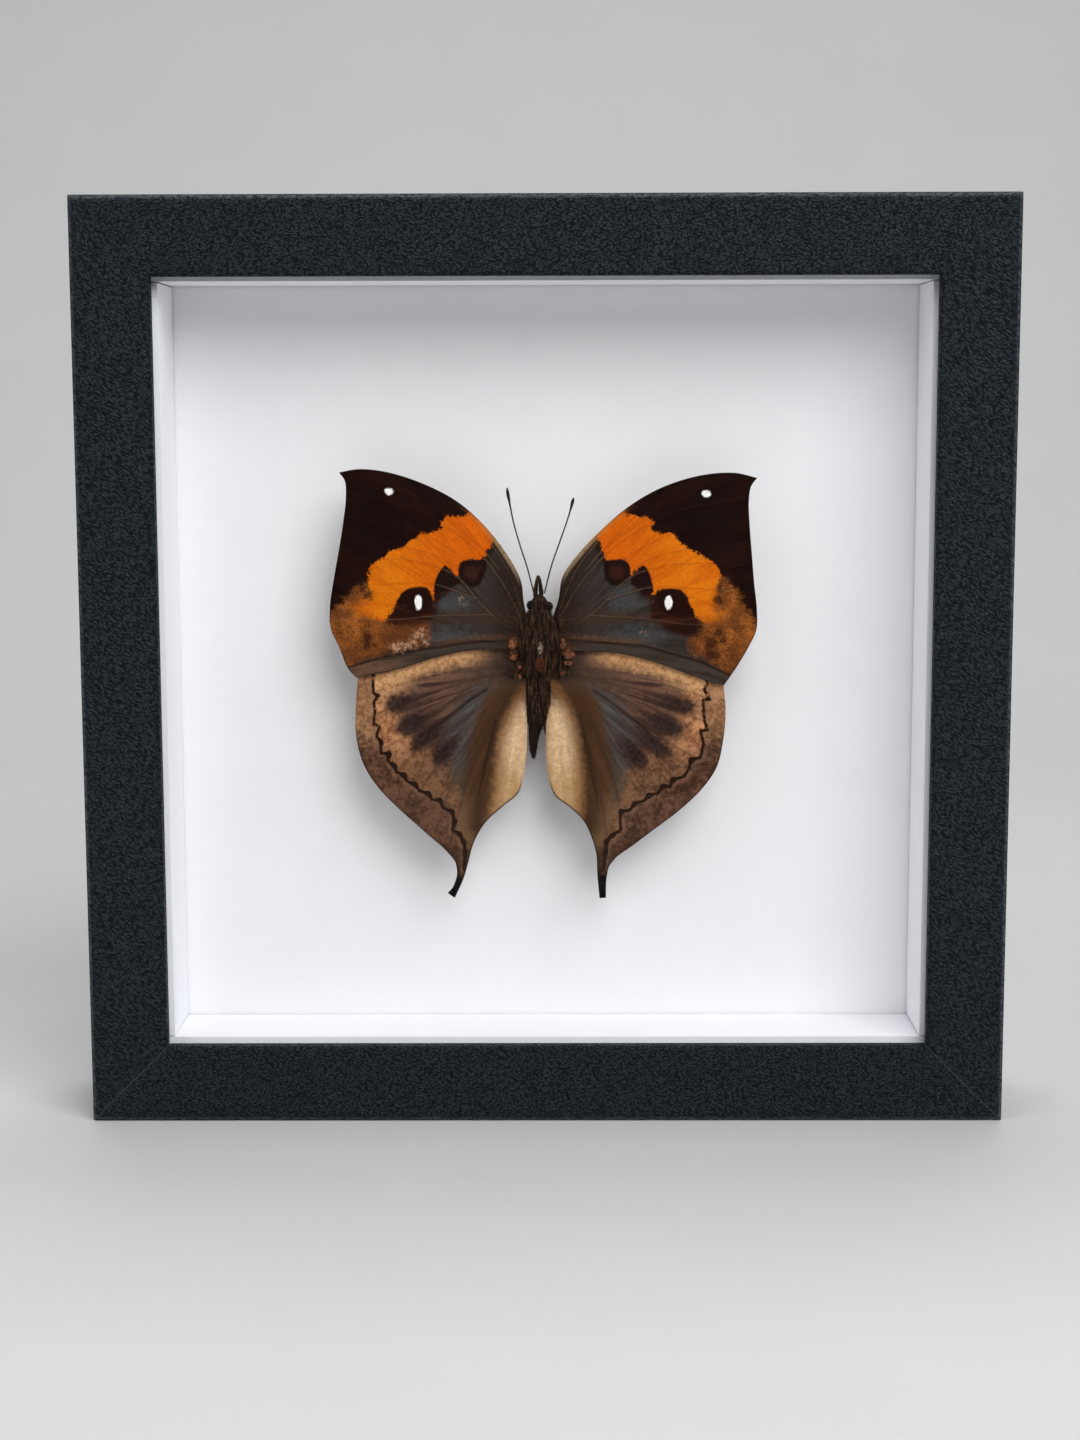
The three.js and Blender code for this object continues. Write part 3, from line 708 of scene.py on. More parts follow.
# %% [markdown]
# A sheet has two faces and a rim. The relief is added to a gentle camber: a ridge along each vein, a sag
# between veins that grows with the distance from them, and slow waves, because a dried wing is never
# flat. The inner part of a hindwing, beside the abdomen, is folded back a little.

# %% Make a wing's sheet
WING_SHEET = 0.14
VEIN_RIDGE, VEIN_HALF_WIDTH = 0.08, 0.22
PLEAT_SAG, PLEAT_REACH = 0.11, 2.2
WAVE_HEIGHT, WAVE_LENGTH = 0.07, 9.0
RAY_SPREAD = 30
EDGE_STEPS = 80


def wing_relief(flat, vein):
    """The height that veins, pleats and waves add: a bell curve ridge at each vein, less a sag that nears
    its full depth a few millimetres away, plus two crossing sine waves."""
    x, y = flat.T * (2 * np.pi / WAVE_LENGTH)
    ridge = VEIN_RIDGE * np.exp(-((vein / VEIN_HALF_WIDTH) ** 2))
    sag = PLEAT_SAG * (1 - np.exp(-vein / PLEAT_REACH))
    return ridge - sag + WAVE_HEIGHT * (np.sin(0.7 * x + 0.5 * y) + np.sin(0.4 * x - 0.9 * y + 1))


def ray_map(flat, base):
    """A map for streaks that fan out from the wing's base: the angle, as a length, and the distance."""
    offset = flat - base
    return np.stack([RAY_SPREAD * np.arctan2(offset[:, 1], np.abs(offset[:, 0])),
                     np.linalg.norm(offset, axis=1)], -1)


def add_wing(name, node, grid, height, base, values):
    """A closed sheet: the upper face, the lower face a little behind it, and a strip of quads round the
    rim."""
    along, across = grid.shape[:2]
    flat = grid.reshape(-1, 2)
    count = len(flat)
    upper = np.column_stack([flat, height + WING_SHEET / 2])
    lower = np.column_stack([flat, height - WING_SHEET / 2])
    cells = grid_faces(along, across)
    number = np.arange(count).reshape(along, across)
    rim = np.concatenate([number[:-1, 0], number[-1, :-1], number[:0:-1, -1], number[0, :0:-1]])
    after = np.roll(rim, -1)
    strip = np.stack([rim, after, after + count, rim + count], -1)
    faces = [cells, cells[:, ::-1] + count, strip]
    both = {key: np.tile(value, 2) for key, value in values.items()}
    both["underside"] = np.repeat([0.0, 1.0], count)
    places = stood_up(np.concatenate([upper, lower]))
    return add_piece(name, places, faces, [node], np.tile(ray_map(flat, base), (2, 1)), both)


# %% [markdown]
# ## The forewings' markings
# The markings are outlines, in millimetres from the pin. For each, the mesh carries how deep every place
# lies inside it, and the finish turns that number into colour: a step with a noise added to it gives the
# ragged edge that rows of scales make. Nothing is painted from a picture, and the edges stay sharp
# however near the camera comes.

# %% The forewings' markings
FOREWING_MARKS = {
    "left": {
        "band": [(-14.9, 31), (-15.6, 28.9), (-17.2, 28.7), (-18.2, 28.6), (-19.7, 29), (-20.7, 28.2),
                 (-21.1, 27.2), (-21.3, 26.2), (-22.6, 25.3), (-25.5, 25.2), (-26.5, 24.3), (-28, 23.2),
                 (-30.1, 22), (-32.2, 21.2), (-33.8, 19.9), (-35.5, 19.1), (-36.5, 17.8), (-37, 16.4),
                 (-37.2, 14), (-36.6, 12.2), (-38.6, 10.6), (-41, 9.4), (-40, 7), (-37.6, 6.6),
                 (-35.5, 6.2), (-34.2, 6), (-33, 6.6), (-32, 8.2), (-31.3, 9.9), (-30.5, 10.8),
                 (-30.1, 12), (-29, 12.8), (-27.6, 13.2), (-25.5, 13.3), (-24.3, 13), (-23.7, 12),
                 (-23.1, 10.2), (-22.9, 12), (-22.6, 13.5), (-22.3, 15), (-21.8, 16.2), (-21.3, 17.2),
                 (-20.5, 17.8), (-19.7, 17.4), (-18.8, 16.6), (-18.2, 15.7), (-17.7, 16), (-17.4, 17.4),
                 (-17, 18.7), (-15.9, 19.3), (-14, 19.3), (-12.8, 19.2), (-11.8, 19.9), (-11.3, 21.2),
                 (-10.3, 22.6), (-9, 26)],
        "apex": [(-11, 31), (-13, 27), (-18, 25), (-24, 22), (-30, 18.5), (-35, 15.8), (-37.6, 14.4),
                 (-40, 13), (-42.4, 11), (-45, 8), (-48, 7), (-48, 42), (-20, 42)],
        "tornus": [(-37, 15), (-36.4, 12), (-34, 8), (-30.5, 7), (-25, 6.4), (-24, 4), (-24.4, 1),
                   (-28, 0), (-34, -1.6), (-39, -3.4), (-43, -8), (-50, 0), (-48, 10), (-42, 14)],
        "spots": [
            [(-17, 18.7), (-17.4, 17), (-17.2, 15.3), (-15.9, 14.1), (-14.7, 13.4), (-13.2, 13.7),
             (-12.2, 15.3), (-11.5, 17.4), (-11.2, 18.9), (-12.4, 19.3), (-14.7, 19.2)],
            [(-20.4, 18.1), (-21.4, 17), (-22.3, 15.4), (-22.7, 12.6), (-20.9, 12.4), (-18.8, 13.5),
             (-17, 14.5), (-18, 15.6), (-18.9, 16.7)],
        ],
        "blotch": [(-23, 9.9), (-23.7, 12.2), (-24.3, 13.2), (-25.5, 13.4), (-27.6, 13.2), (-29.2, 12.6),
                   (-30.1, 11.6), (-31.1, 10.1), (-29.7, 9.6), (-28.4, 8.7), (-27.2, 7.8), (-25.3, 7.4),
                   (-23.8, 8.2)],
        "shade": [(-22.8, 14), (-18.2, 14.4), (-19.6, 12.2), (-22, 10.4), (-22.2, 8), (-24, 6.2),
                  (-28, 5), (-32, 5.2), (-33, 6.6), (-31, 9.6), (-27, 9), (-23.4, 9)],
        "trail": [(-5, 1.6), (-12.6, 1.5), (-18.8, 0.8), (-23, 0.1), (-27.2, -0.5), (-30, -1.1),
                  (-34.2, -2), (-38.8, -3.3), (-44, -5), (-44, -9), (-20, -9), (-3, -3)],
        "worn": [[(-32.6, 0.2), (-31, 1.3), (-28.6, 1), (-29.2, -0.2), (-31.6, -0.5)],
                 [(-29.2, 0.6), (-27.8, 3), (-25.7, 4.4), (-25.2, 3), (-26.6, 1.2), (-28, 0)],
                 [(-25.8, 2), (-24.5, 2.1), (-24.6, 1.1), (-25.7, 1.2)],
                 [(-16.9, 10.6), (-15.9, 9.8), (-16.4, 10)]],
        "dark": [(-38.5, 13.8, 0.8, 1.4), (-37.2, 11.6, 1.2, 0.7), (-37.6, 1.6, 0.9, 1.8),
                 (-36.2, 0.6, 1.0, 0.7)],
        "window": (-26.3, 10.1, 0.8, 1.6), "tip_spot": (-32.4, 34.2, 0.9, 0.7),
    },
    "right": {
        "band": [(18.4, 31), (19, 29.2), (20, 28.8), (21.7, 28.5), (23.5, 28.7), (24.6, 27.8), (25, 27),
                 (24.2, 26.4), (25, 25.3), (26.7, 25.1), (28.3, 25.1), (29.8, 24.3), (30.8, 23),
                 (32.5, 21.6), (34.2, 20.8), (35.4, 20.1), (37.1, 19.1), (38.3, 18.2), (39.4, 17),
                 (39.6, 15.3), (39, 13.4), (39.2, 9), (40.6, 7.4), (39.6, 5.8), (37.1, 5.3), (35.4, 5.8),
                 (34.4, 6.8), (33.7, 8.2), (32.7, 9.9), (31.9, 11.6), (30.8, 12.6), (29.2, 12.9),
                 (27.1, 12.8), (25.8, 12.4), (25.2, 11.2), (24.8, 12), (24.6, 14.1), (24.2, 15.7),
                 (23.7, 17), (23.1, 17.8), (22.1, 17.6), (20.8, 16.6), (20.2, 16), (19.8, 17),
                 (19.4, 18.7), (18.3, 19.3), (16.7, 19.2), (15, 19.3), (14.2, 20.3), (13.7, 21.6),
                 (13.3, 23), (11.5, 26)],
        "apex": [(14, 31), (17, 27), (22, 24.5), (28, 21.5), (34, 18), (38, 16), (40.4, 15.4), (42.4, 13),
                 (44.6, 10), (46.4, 6.6), (50, 4), (50, 42), (24, 42)],
        "tornus": [(39.4, 16), (38.6, 12), (36.8, 6), (34, 5.6), (33.4, 3.4), (33, 0), (35.6, -2.4),
                   (39, -4.4), (41, -9), (50, -4), (50, 10), (44, 14)],
        "spots": [
            [(14.4, 18.7), (14.2, 16.6), (14.6, 14.9), (15.8, 13.9), (17.5, 13.7), (19, 14.5),
             (19.8, 16.2), (19.6, 18.2), (18.3, 19.2), (15.8, 19.1)],
            [(22.6, 18.1), (23.7, 17), (24.4, 15.2), (24.8, 12.2), (23.2, 12.2), (21.4, 13.1),
             (19.9, 14.4), (20.9, 15.8), (21.8, 17)],
        ],
        "blotch": [(25.2, 11), (25.8, 12.2), (27.1, 12.8), (29.2, 12.9), (30.8, 12.6), (31.9, 11.4),
                   (32.7, 9.7), (33.3, 7.8), (32.3, 6.6), (30, 7.2), (27.5, 7.6), (25.8, 8.8)],
        "shade": [(24.6, 13.4), (21, 13.8), (22.4, 11.4), (24.4, 10), (24.6, 6.8), (27, 4.6), (31, 2.6),
                  (35, 3), (35.2, 5.8), (33.6, 8), (30, 9), (26, 9)],
        "trail": [(5, 1.8), (11, 1.4), (17, 0.9), (22.9, 0.5), (29.2, -1.3), (35.4, -3.2), (39, -4.8),
                  (43, -6.6), (43, -11), (20, -11), (3, -3)],
        "worn": [[(22.4, 3.6), (22.9, 3.5), (22.7, 3.3)]],
        "dark": [(39.4, 13, 0.6, 1.1), (39, 10.6, 0.9, 0.9), (37.6, 1, 1.3, 1.3), (37.9, -1.4, 1.5, 1.1),
                 (40.2, 1.5, 0.7, 0.7), (39.3, 3.3, 0.8, 1.0)],
        "window": (28.3, 9.9, 0.85, 1.5), "tip_spot": (36.3, 33.5, 0.95, 0.75),
    },
}
BLUE_PATCHES = [(-19.5, 9.8, 4.2, 2.2), (-19.8, 2.6, 4.8, 1.9), (18.5, 10.8, 3.4, 2.8),
                (22, 2.6, 5.5, 2.2)]


def edge_distances(flat, outline, keys):
    """How far each place is from each of the named edges of a wing."""
    return {key: distance_to_path(flat, smooth_curve(outline[key], EDGE_STEPS)) for key in keys}


def deepest(places, outlines):
    """How deep each place lies inside the one of several outlines that holds it best."""
    return np.max([depth_inside(places, outline) for outline in outlines], axis=0)


def deepest_oval(places, ovals):
    """The same for upright ovals, each given as its middle and its two half sizes."""
    return np.max([depth_in_oval(places, oval[:2], *oval[2:]) for oval in ovals], axis=0)


def forewing_values(flat, outline, marks, vein):
    """The numbers that a forewing's finish reads: depths inside markings and distances from edges and
    veins."""
    areas = {key: depth_inside(flat, marks[key]) for key in ("band", "trail")}
    for key in ("apex", "tornus", "blotch", "shade"):
        areas[key] = depth_inside(flat, rounded(marks[key]))
    spots = [rounded(spot) for spot in marks["spots"]]
    groups = {"spots": deepest(flat, spots), "worn": deepest(flat, marks["worn"])}
    groups["heart"] = depth_inside(flat, spots[0])
    ovals = {key: depth_in_oval(flat, marks[key][:2], *marks[key][2:]) for key in ("window", "tip_spot")}
    edges = edge_distances(flat, outline, ("costa", "outer", "inner"))
    others = {"dark": deepest_oval(flat, marks["dark"]), "blue": deepest_oval(flat, BLUE_PATCHES),
              "vein": vein, "across": flat[:, 0]}
    return {**areas, **groups, **ovals, **edges, **others, "up": flat[:, 1], "out": np.abs(flat[:, 0])}


FOREWING_STEPS = (180, 170)
FOREWING_HEIGHT, FOREWING_CAMBER = 0.7, 0.8
ROOT_SHARE = 0.7


def tucked(edge, rise=0.0):
    """An edge whose first point is moved towards the body, and up, so that the wing's root lies under the
    fur."""
    return [(edge[0][0] * ROOT_SHARE, edge[0][1] + rise), *edge[1:]]


def camber(along, across):
    """A swelling that is highest in the middle of the sheet and nothing at its edges: sin(pi u) sin(pi
    v)."""
    u, v = np.linspace(0, np.pi, along), np.linspace(0, np.pi, across)
    return np.outer(np.sin(u), np.sin(v)).ravel()


def make_forewing(side):
    outline = FOREWINGS[side]
    inner, costa = tucked(outline["inner"]), tucked(outline["costa"])
    ends = [inner[0], costa[0]]
    grid = coons_patch(inner, costa, ends, outline["outer"][::-1], *FOREWING_STEPS)
    flat = grid.reshape(-1, 2)
    vein = vein_distance(flat, FOREWING_VEINS, FOREWINGS, side)
    height = FOREWING_HEIGHT + FOREWING_CAMBER * camber(*FOREWING_STEPS) + wing_relief(flat, vein)
    values = forewing_values(flat, outline, FOREWING_MARKS[side], vein)
    base = np.mean(ends, axis=0)
    return add_wing("wing_fore_" + side, "forewing_" + side, grid, height, base,
                    values)


forewings = [make_forewing(side) for side in ("left", "right")]

# %% [markdown]
# ## The forewings' finish
# The colours lie in layers, as on the real wing: slate and brown at the base, an orange band, a brown
# black tip, an orange and brown mottle at the rear corner, dark spots, and the two clear windows. Fine
# streaks follow the rays that fan out from the base, and a grain the size of scale rows breaks up every
# colour. Scales give a soft sheen and no hard gloss.

# %% Words for wing finishes
LEFT_RUBBED, RIGHT_RUBBED = (-5.6, -0.6, 1.9, 3.6), (6.1, -1.6, 2.1, 3.2)


class WingFinish(Finish):
    """A finish with the noises that both pairs of wings share. Streaks die away near the wing's base."""

    def __init__(self, name):
        super().__init__(name, Specular_IOR_Level=0.06)
        self.lumps = self.spread(self.noise(self.where, 0.8, 3.0, 0.55), -0.5, 0.5)
        self.ragged = self.spread(self.noise(self.where, 3.0, 2.0), -0.5, 0.5)
        rays = self.noise(self.stretched(self.lay, (0.55, 0.06, 1)), 1.0, 4.0, 0.6, 0.5)
        self.streaks = self.blend(self.step(self.axes(self.lay)["Y"], 4.0, 24.0), 0.5, rays)
        self.scales = self.noise(self.stretched(self.lay, (2.4, 3.4, 1)), 1.0, 2.0, 0.7)
        self.mottle = self.noise(self.where, 1.1, 5.0, 0.65)
        self.clouds = self.noise(self.where, 0.3, 3.0)
        self.dots = self.noise(self.where, 2.6, 3.0, 0.6)
        self.specks = self.noise(self.where, 3.4, 3.0, 0.75)

    def mark(self, name, soft=0.15, lumpy=0.3, rough=0.35):
        """Where a marking lies: a soft step at its edge, made uneven by two sizes of noise, in
        millimetres."""
        wobble = self.sum(self.times(self.lumps, lumpy), self.times(self.ragged, rough))
        return self.step(self.sum(self.value(name), wobble), -soft, soft)

    def near(self, name, width, soft=0.25):
        """A line along an edge or a vein: full within its half width and gone a little further out."""
        return self.step(self.value(name), width + soft, max(width - soft, 0.0))

    def root(self, paint, near):
        """The wing's root over its paint: dark fur-like mottling, and a rubbed chestnut round the bare
        plates."""
        furry = self.times(near, self.step(self.dots, 0.36, 0.56), 0.85)
        paint = self.mix(furry, paint, ink(31, 20, 13))
        rubbed = self.either(self.oval(*LEFT_RUBBED), self.oval(*RIGHT_RUBBED))
        rubbed = self.times(rubbed, self.step(self.dots, 0.34, 0.58))
        return self.mix(self.times(rubbed, 0.8), paint, ink(84, 46, 24))

    def finish(self, paint, underside, tooth=0.05):
        """Breaks the paint up by scale rows, shows the other colour on the lower face, and presses in the
        relief."""
        rows = self.spread(self.scales, 0.76, 1.24)
        grain = self.sum(rows, self.times(self.ragged, 0.2), self.times(self.lumps, 0.16))
        self.put("Base Color", self.mix(self.value("underside"), self.scaled(paint, grain), underside))
        self.put("Roughness", self.spread(self.scales, 0.55, 0.75))
        self.bump(self.sum(self.times(self.scales, 0.6), self.times(self.streaks, 0.8)), tooth)


def dead_leaf(f):
    """The lower face: the brown of a dry leaf, mottled, with darker streaks."""
    leaf = f.tones(f.mottle, 0.35, 0.65, (112, 84, 54), (146, 112, 74))
    return f.mix(f.times(f.step(f.streaks, 0.5, 0.7), 0.5), leaf, ink(84, 60, 38))


# %% [markdown]
# Each layer of the forewing is a short function that takes the paint so far and returns it with the layer
# on top, so the order of the calls at the end is the order of the layers.

# %% Forewing scales


def slate_base(f):
    """Slate streaks with a bluish bloom, browner at the root, beside the veins and along the rear."""
    slate = f.tones(f.streaks, 0.34, 0.66, (40, 31, 26), (60, 54, 50))
    slate = f.mix(f.times(f.step(f.value("out"), 13.0, 5.0), 0.7), slate, ink(44, 32, 24))
    blue = f.times(f.step(f.sum(f.value("blue"), f.times(f.lumps, 2.4)), -1.6, 1.6),
                   f.spread(f.streaks, 0.3, 1.0))
    paint = f.mix(blue, slate, ink(68, 71, 72))
    beside = f.times(f.near("vein", 0.3, 0.5), f.spread(f.mottle, 0.2, 0.9))
    paint = f.mix(beside, paint, ink(36, 24, 17))
    brown = f.times(f.step(f.value("up"), 4.6, 6.2), f.step(f.value("up"), 9.5, 7.2))
    paint = f.mix(f.times(brown, f.spread(f.streaks, 0.1, 0.9)), paint, ink(62, 43, 31))
    strip = f.times(f.step(f.value("trail"), -1.9, -1.0), f.step(f.value("out"), 27.0, 20.0))
    paint = f.mix(f.times(strip, f.step(f.sum(f.streaks, f.mottle), 0.75, 1.25)), paint, ink(94, 62, 44))
    return paint


def corner_and_tip(f, paint):
    """The band's dark border, the mottled rear corner, the maroon shade and the brown black tip."""
    border = f.step(f.sum(f.value("band"), f.times(f.lumps, 1.0)), -1.9, -0.4)
    paint = f.mix(f.times(border, 0.9), paint, ink(33, 15, 9))
    dust = f.tones(f.sum(f.clouds, f.times(f.dots, 0.5)), 0.62, 0.9, (112, 62, 24), (164, 94, 34))
    inner = f.either(f.step(f.value("out"), 40.0, 31.0), f.times(f.step(f.value("up"), 4.0, -3.0), 0.7))
    dust = f.mix(f.times(inner, 0.8), dust, ink(88, 47, 22))
    dust = f.mix(f.times(f.step(f.specks, 0.48, 0.6), 0.8), dust, ink(66, 34, 16))
    dust = f.mix(f.times(f.step(f.specks, 0.42, 0.3), 0.4), dust, ink(190, 126, 62))
    paint = f.mix(f.mark("tornus", 1.0, 1.8, 1.6), paint, dust)
    maroon = f.tones(f.streaks, 0.45, 0.6, (34, 9, 3), (56, 24, 12))
    paint = f.mix(f.mark("shade", 0.8, 1.2, 1.0), paint, maroon)
    tip = f.tones(f.streaks, 0.4, 0.64, (16, 1, 0), (28, 6, 0))
    tip = f.mix(f.times(f.near("vein", 0.1, 0.2), 0.25), tip, ink(48, 24, 13))
    return f.mix(f.mark("apex", 0.9, 1.8, 1.6), paint, tip)


def orange_band(f, paint):
    """The orange band, which breaks up into dust at the rear corner, and the dark spots beside it."""
    orange = f.tones(f.value("out"), 14.0, 34.0, (206, 93, 4), (213, 113, 9))
    orange = f.mix(f.times(f.step(f.streaks, 0.46, 0.66), 0.6), orange, ink(188, 80, 3))
    orange = f.mix(f.times(f.near("vein", 0.08, 0.2), 0.5), orange, ink(160, 66, 5))
    fade = f.times(f.step(f.value("out"), 33.0, 39.0), f.step(f.value("up"), 15.0, 9.0))
    dusty = f.step(f.sum(f.value("band"), f.spread(f.specks, -2.6, 2.6)), -0.6, 2.4)
    paint = f.mix(f.blend(fade, f.mark("band", 0.2, 0.9, 0.9), dusty), paint, orange)
    heart = f.mix(f.mottle, ink(36, 14, 9), ink(60, 27, 19))
    heart = f.mix(f.step(f.sum(f.value("heart"), f.times(f.lumps, 0.5)), 0.8, 1.8), ink(25, 9, 4), heart)
    paint = f.mix(f.mark("spots", 0.2, 0.4, 0.3), paint, heart)
    paint = f.mix(f.mark("blotch", 0.3, 0.5, 0.6), paint, ink(29, 5, 0))
    return f.mix(f.times(f.mark("dark", 0.5, 1.0, 1.3), 0.85), paint, ink(46, 20, 9))


def rear_strip(f, paint):
    """The grey strip along the rear edge, the gilt veins and the seam beside the strip."""
    grey = f.tones(f.value("across"), -24.0, -37.0, (62, 53, 46), (98, 71, 53))
    grey = f.mix(f.step(f.streaks, 0.45, 0.65), grey, ink(52, 41, 33))
    paint = f.mix(f.mark("trail", 0.25, 0.4, 0.3), paint, grey)
    ground = f.times(f.step(f.value("band"), 0.2, -0.4), f.step(f.value("apex"), 0.0, -1.0))
    veins = f.times(f.near("vein", 0.1, 0.14), ground, f.spread(f.mottle, 0.1, 0.75))
    gilt = f.tones(f.value("up"), 2.0, 9.0, (34, 22, 15), (118, 95, 71))
    paint = f.mix(veins, paint, gilt)
    seam = f.step(f.size(f.value("trail")), 0.45, 0.1)
    return f.mix(f.times(seam, 0.8), paint, ink(34, 22, 15))


def worn_edges(f, paint):
    """The root, the leading edge rubbed pale, the dark rims, the worn flecks and the clear windows."""
    paint = f.root(paint, f.step(f.value("out"), 12.0, 5.0))
    bare = f.times(f.step(f.value("up"), 13.0, 18.0), f.step(f.value("up"), 32.0, 25.0))
    bare = f.times(f.near("costa", 0.75, 0.4), bare, f.spread(f.dots, 0.35, 1.1))
    edge = f.tones(f.value("up"), 21.0, 26.0, (158, 132, 98), (182, 112, 50))
    paint = f.mix(bare, paint, edge)
    hem = f.times(f.near("costa", 0.2, 0.25), f.inverse(bare))
    rim = f.either(f.times(f.near("outer", 0.15, 0.25), 0.75), f.times(f.near("inner", 0.1, 0.2), 0.6))
    paint = f.mix(f.either(hem, rim), paint, ink(18, 10, 7))
    chips = f.times(f.mark("worn", 0.9, 1.5, 0.8), f.step(f.mottle, 0.36, 0.6))
    faded = f.tones(f.specks, 0.45, 0.64, (146, 98, 64), (236, 204, 174))
    paint = f.mix(chips, paint, faded)
    panes = f.either(f.mark("window", 0.12, 0.2, 0.15), f.mark("tip_spot", 0.2, 0.3, 0.25))
    return f.mix(panes, paint, ink(244, 240, 236))


def forewing_scales():
    f = WingFinish("forewing_paint")
    paint = slate_base(f)
    for layer in (corner_and_tip, orange_band, rear_strip, worn_edges):
        paint = layer(f, paint)
    f.finish(paint, dead_leaf(f))
    return f


dress(forewing_scales(), *forewings)

# %% [markdown]
# ## The hindwings
# A hindwing is tan at its front and outer parts, brown and mauve in the middle, and pale cream where it
# folds beside the abdomen. A dark zigzag runs near the outer edge and down into the tail, and inside it
# lie four dark blots that are drawn out towards the base like drops. Its sheet is made as the forewing's
# is, and the fold sinks back, so that its crease catches the light.

# %% The hindwings' markings
HINDWING_MARKS = {
    "left": {
        "zigzag": [(-36.4, -5), (-36.5, -7.8), (-36.5, -10.1), (-35.2, -10.5), (-36.4, -11.9),
                   (-36.2, -14.2), (-36.5, -16.9), (-35.2, -17.4), (-35.9, -19.6), (-34.9, -20.8),
                   (-35, -23.3), (-33.1, -23.5), (-33.4, -25.1), (-32, -26.2), (-31.5, -27.6),
                   (-29.9, -28.3), (-29.3, -29.6), (-27.5, -30.3), (-26.5, -31.7), (-24.5, -32.4),
                   (-23.8, -33.7), (-22, -33.9), (-21.3, -35.5), (-19.3, -36.5), (-18.8, -38.7),
                   (-19.3, -40.5), (-17.7, -41.5), (-16.8, -43.3), (-16.5, -45.5), (-16.8, -49.5)],
        "fold": [(-3.4, -8.6), (-5.2, -10.6), (-6.6, -13.6), (-7.7, -16), (-9, -19.6), (-9.5, -23.3),
                 (-9.9, -27.8), (-10.9, -34.6), (-11.8, -38.5), (0, -38.5), (0, -9)],
        "blots": [(-31.8, -12.6, 1.9, 1.9), (-29.4, -17.4, 2.2, 1.9), (-26.4, -20.9, 1.8, 2.0),
                  (-21.9, -24.2, 1.9, 1.7)],
        "blue": [(-10.5, -8.5), (-18, -14), (-21, -20), (-19, -27), (-16.8, -32), (-14.2, -24),
                 (-12, -16)],
        "vein_line": [(-11.5, -9.2), (-15, -11.4), (-18.6, -14.2), (-21.5, -16.3), (-24.2, -18)],
        "inner_line": [(-9.6, -16), (-10.8, -21), (-12.2, -27), (-13.8, -34), (-15.4, -43)],
        "tail_from": -51.5,
    },
    "right": {
        "zigzag": [(36.8, -6), (36.9, -8.3), (36.2, -9.4), (37.5, -11.5), (36, -11.7), (36.2, -14.2),
                   (36.4, -16.5), (37.1, -18.4), (35.5, -18.5), (36.2, -21.5), (35.5, -24.4),
                   (33.5, -24.9), (33, -26.9), (31.9, -28.7), (29.4, -29.4), (28.9, -31), (27.3, -30.8),
                   (26.2, -32.4), (24.1, -32.9), (23.2, -34), (21, -34.7), (20, -36.2), (18, -36.5),
                   (17.8, -38.7), (18, -40.5), (16, -41.9), (14.8, -43.3), (14.6, -45.5), (14.2, -49.5)],
        "fold": [(3.4, -7.6), (4.7, -8.8), (5.9, -10.8), (7.2, -13.9), (8.4, -17.6), (9.1, -22.2),
                 (9.6, -26.8), (9.9, -30.6), (9.9, -34.5), (9.6, -38.5), (0, -38.5), (0, -8)],
        "blots": [(32, -13.2, 1.6, 2.2), (29.4, -18, 2.1, 2.2), (27, -22.6, 1.7, 2.0),
                  (21.8, -24.8, 2.0, 1.9)],
        "blue": [(10.8, -9), (18, -14), (21.4, -19.5), (19, -27), (16.8, -33), (14.2, -24), (12.2, -16)],
        "vein_line": [(12, -9.6), (15.5, -11.9), (19, -14.6), (22, -17), (24.6, -19.4)],
        "inner_line": [(9, -15), (10.2, -21), (11.4, -27), (12.8, -34), (14, -42)],
        "tail_from": -50.6,
    },
}
INWARD_SHARE = 3.0
FRONT_STEPS, CREASE_STEPS = 60, 30


def depth_in_drop(places, base, middle, half_across, half_out):
    """About how far each place lies inside a drop: an oval turned along the ray from the wing's base,
    drawn out towards the base."""
    ray = (middle - base) / np.linalg.norm(middle - base)
    offset = places - middle
    along, across = offset @ ray, offset @ np.array([-ray[1], ray[0]])
    along = along / np.where(along > 0, half_out, half_out * INWARD_SHARE)
    return (1 - np.hypot(along, across / half_across)) * half_across


def inner_corners(zigzag, base):
    """The zigzag's corners that stick out towards the wing's base from the middle of their two
    neighbours."""
    corners = zigzag[1:-1]
    offset = corners - (zigzag[:-2] + zigzag[2:]) / 2
    return corners[np.einsum("ij,ij->i", offset, base - corners) > 0]


def hindwing_values(flat, side, outline, marks, vein):
    """The numbers that a hindwing's finish reads. Zig is the depth on the body's side of the zigzag, and
    reach runs from 0 at the base to 1 at the zigzag."""
    zigzag = np.array(marks["zigzag"])
    base = np.array(outline["inner"][0])
    body_side = np.vstack([zigzag, [(0, -60)], [(0, 8)], [(zigzag[0, 0], 8)]])
    zig = depth_inside(flat, body_side)
    from_base = np.linalg.norm(flat - base, axis=1)
    edges = edge_distances(flat, outline, ("outer", "inner"))
    front = smooth_curve(FOREWINGS[side]["inner"], FRONT_STEPS)
    drops = [depth_in_drop(flat, base, np.array(drop[:2]), *drop[2:]) for drop in marks["blots"]]
    cusps = [np.linalg.norm(flat - corner, axis=1) for corner in inner_corners(zigzag, base)]
    return {
        **edges, "zig": zig, "line": np.abs(zig),
        "reach": from_base / (from_base + np.maximum(zig, -from_base / 2)),
        "fold": depth_inside(flat, marks["fold"]),
        "blots": np.max(drops, axis=0), "cusp": np.min(cusps, axis=0),
        "blue": depth_inside(flat, rounded(marks["blue"])),
        "vein_line": distance_to_path(flat, marks["vein_line"]),
        "inner_line": distance_to_path(flat, smooth_curve(marks["inner_line"], CREASE_STEPS)),
        "front": distance_to_path(flat, front), "tail": marks["tail_from"] - flat[:, 1], "vein": vein,
        "up": flat[:, 1], "out": np.abs(flat[:, 0]), "across": flat[:, 0],
    }


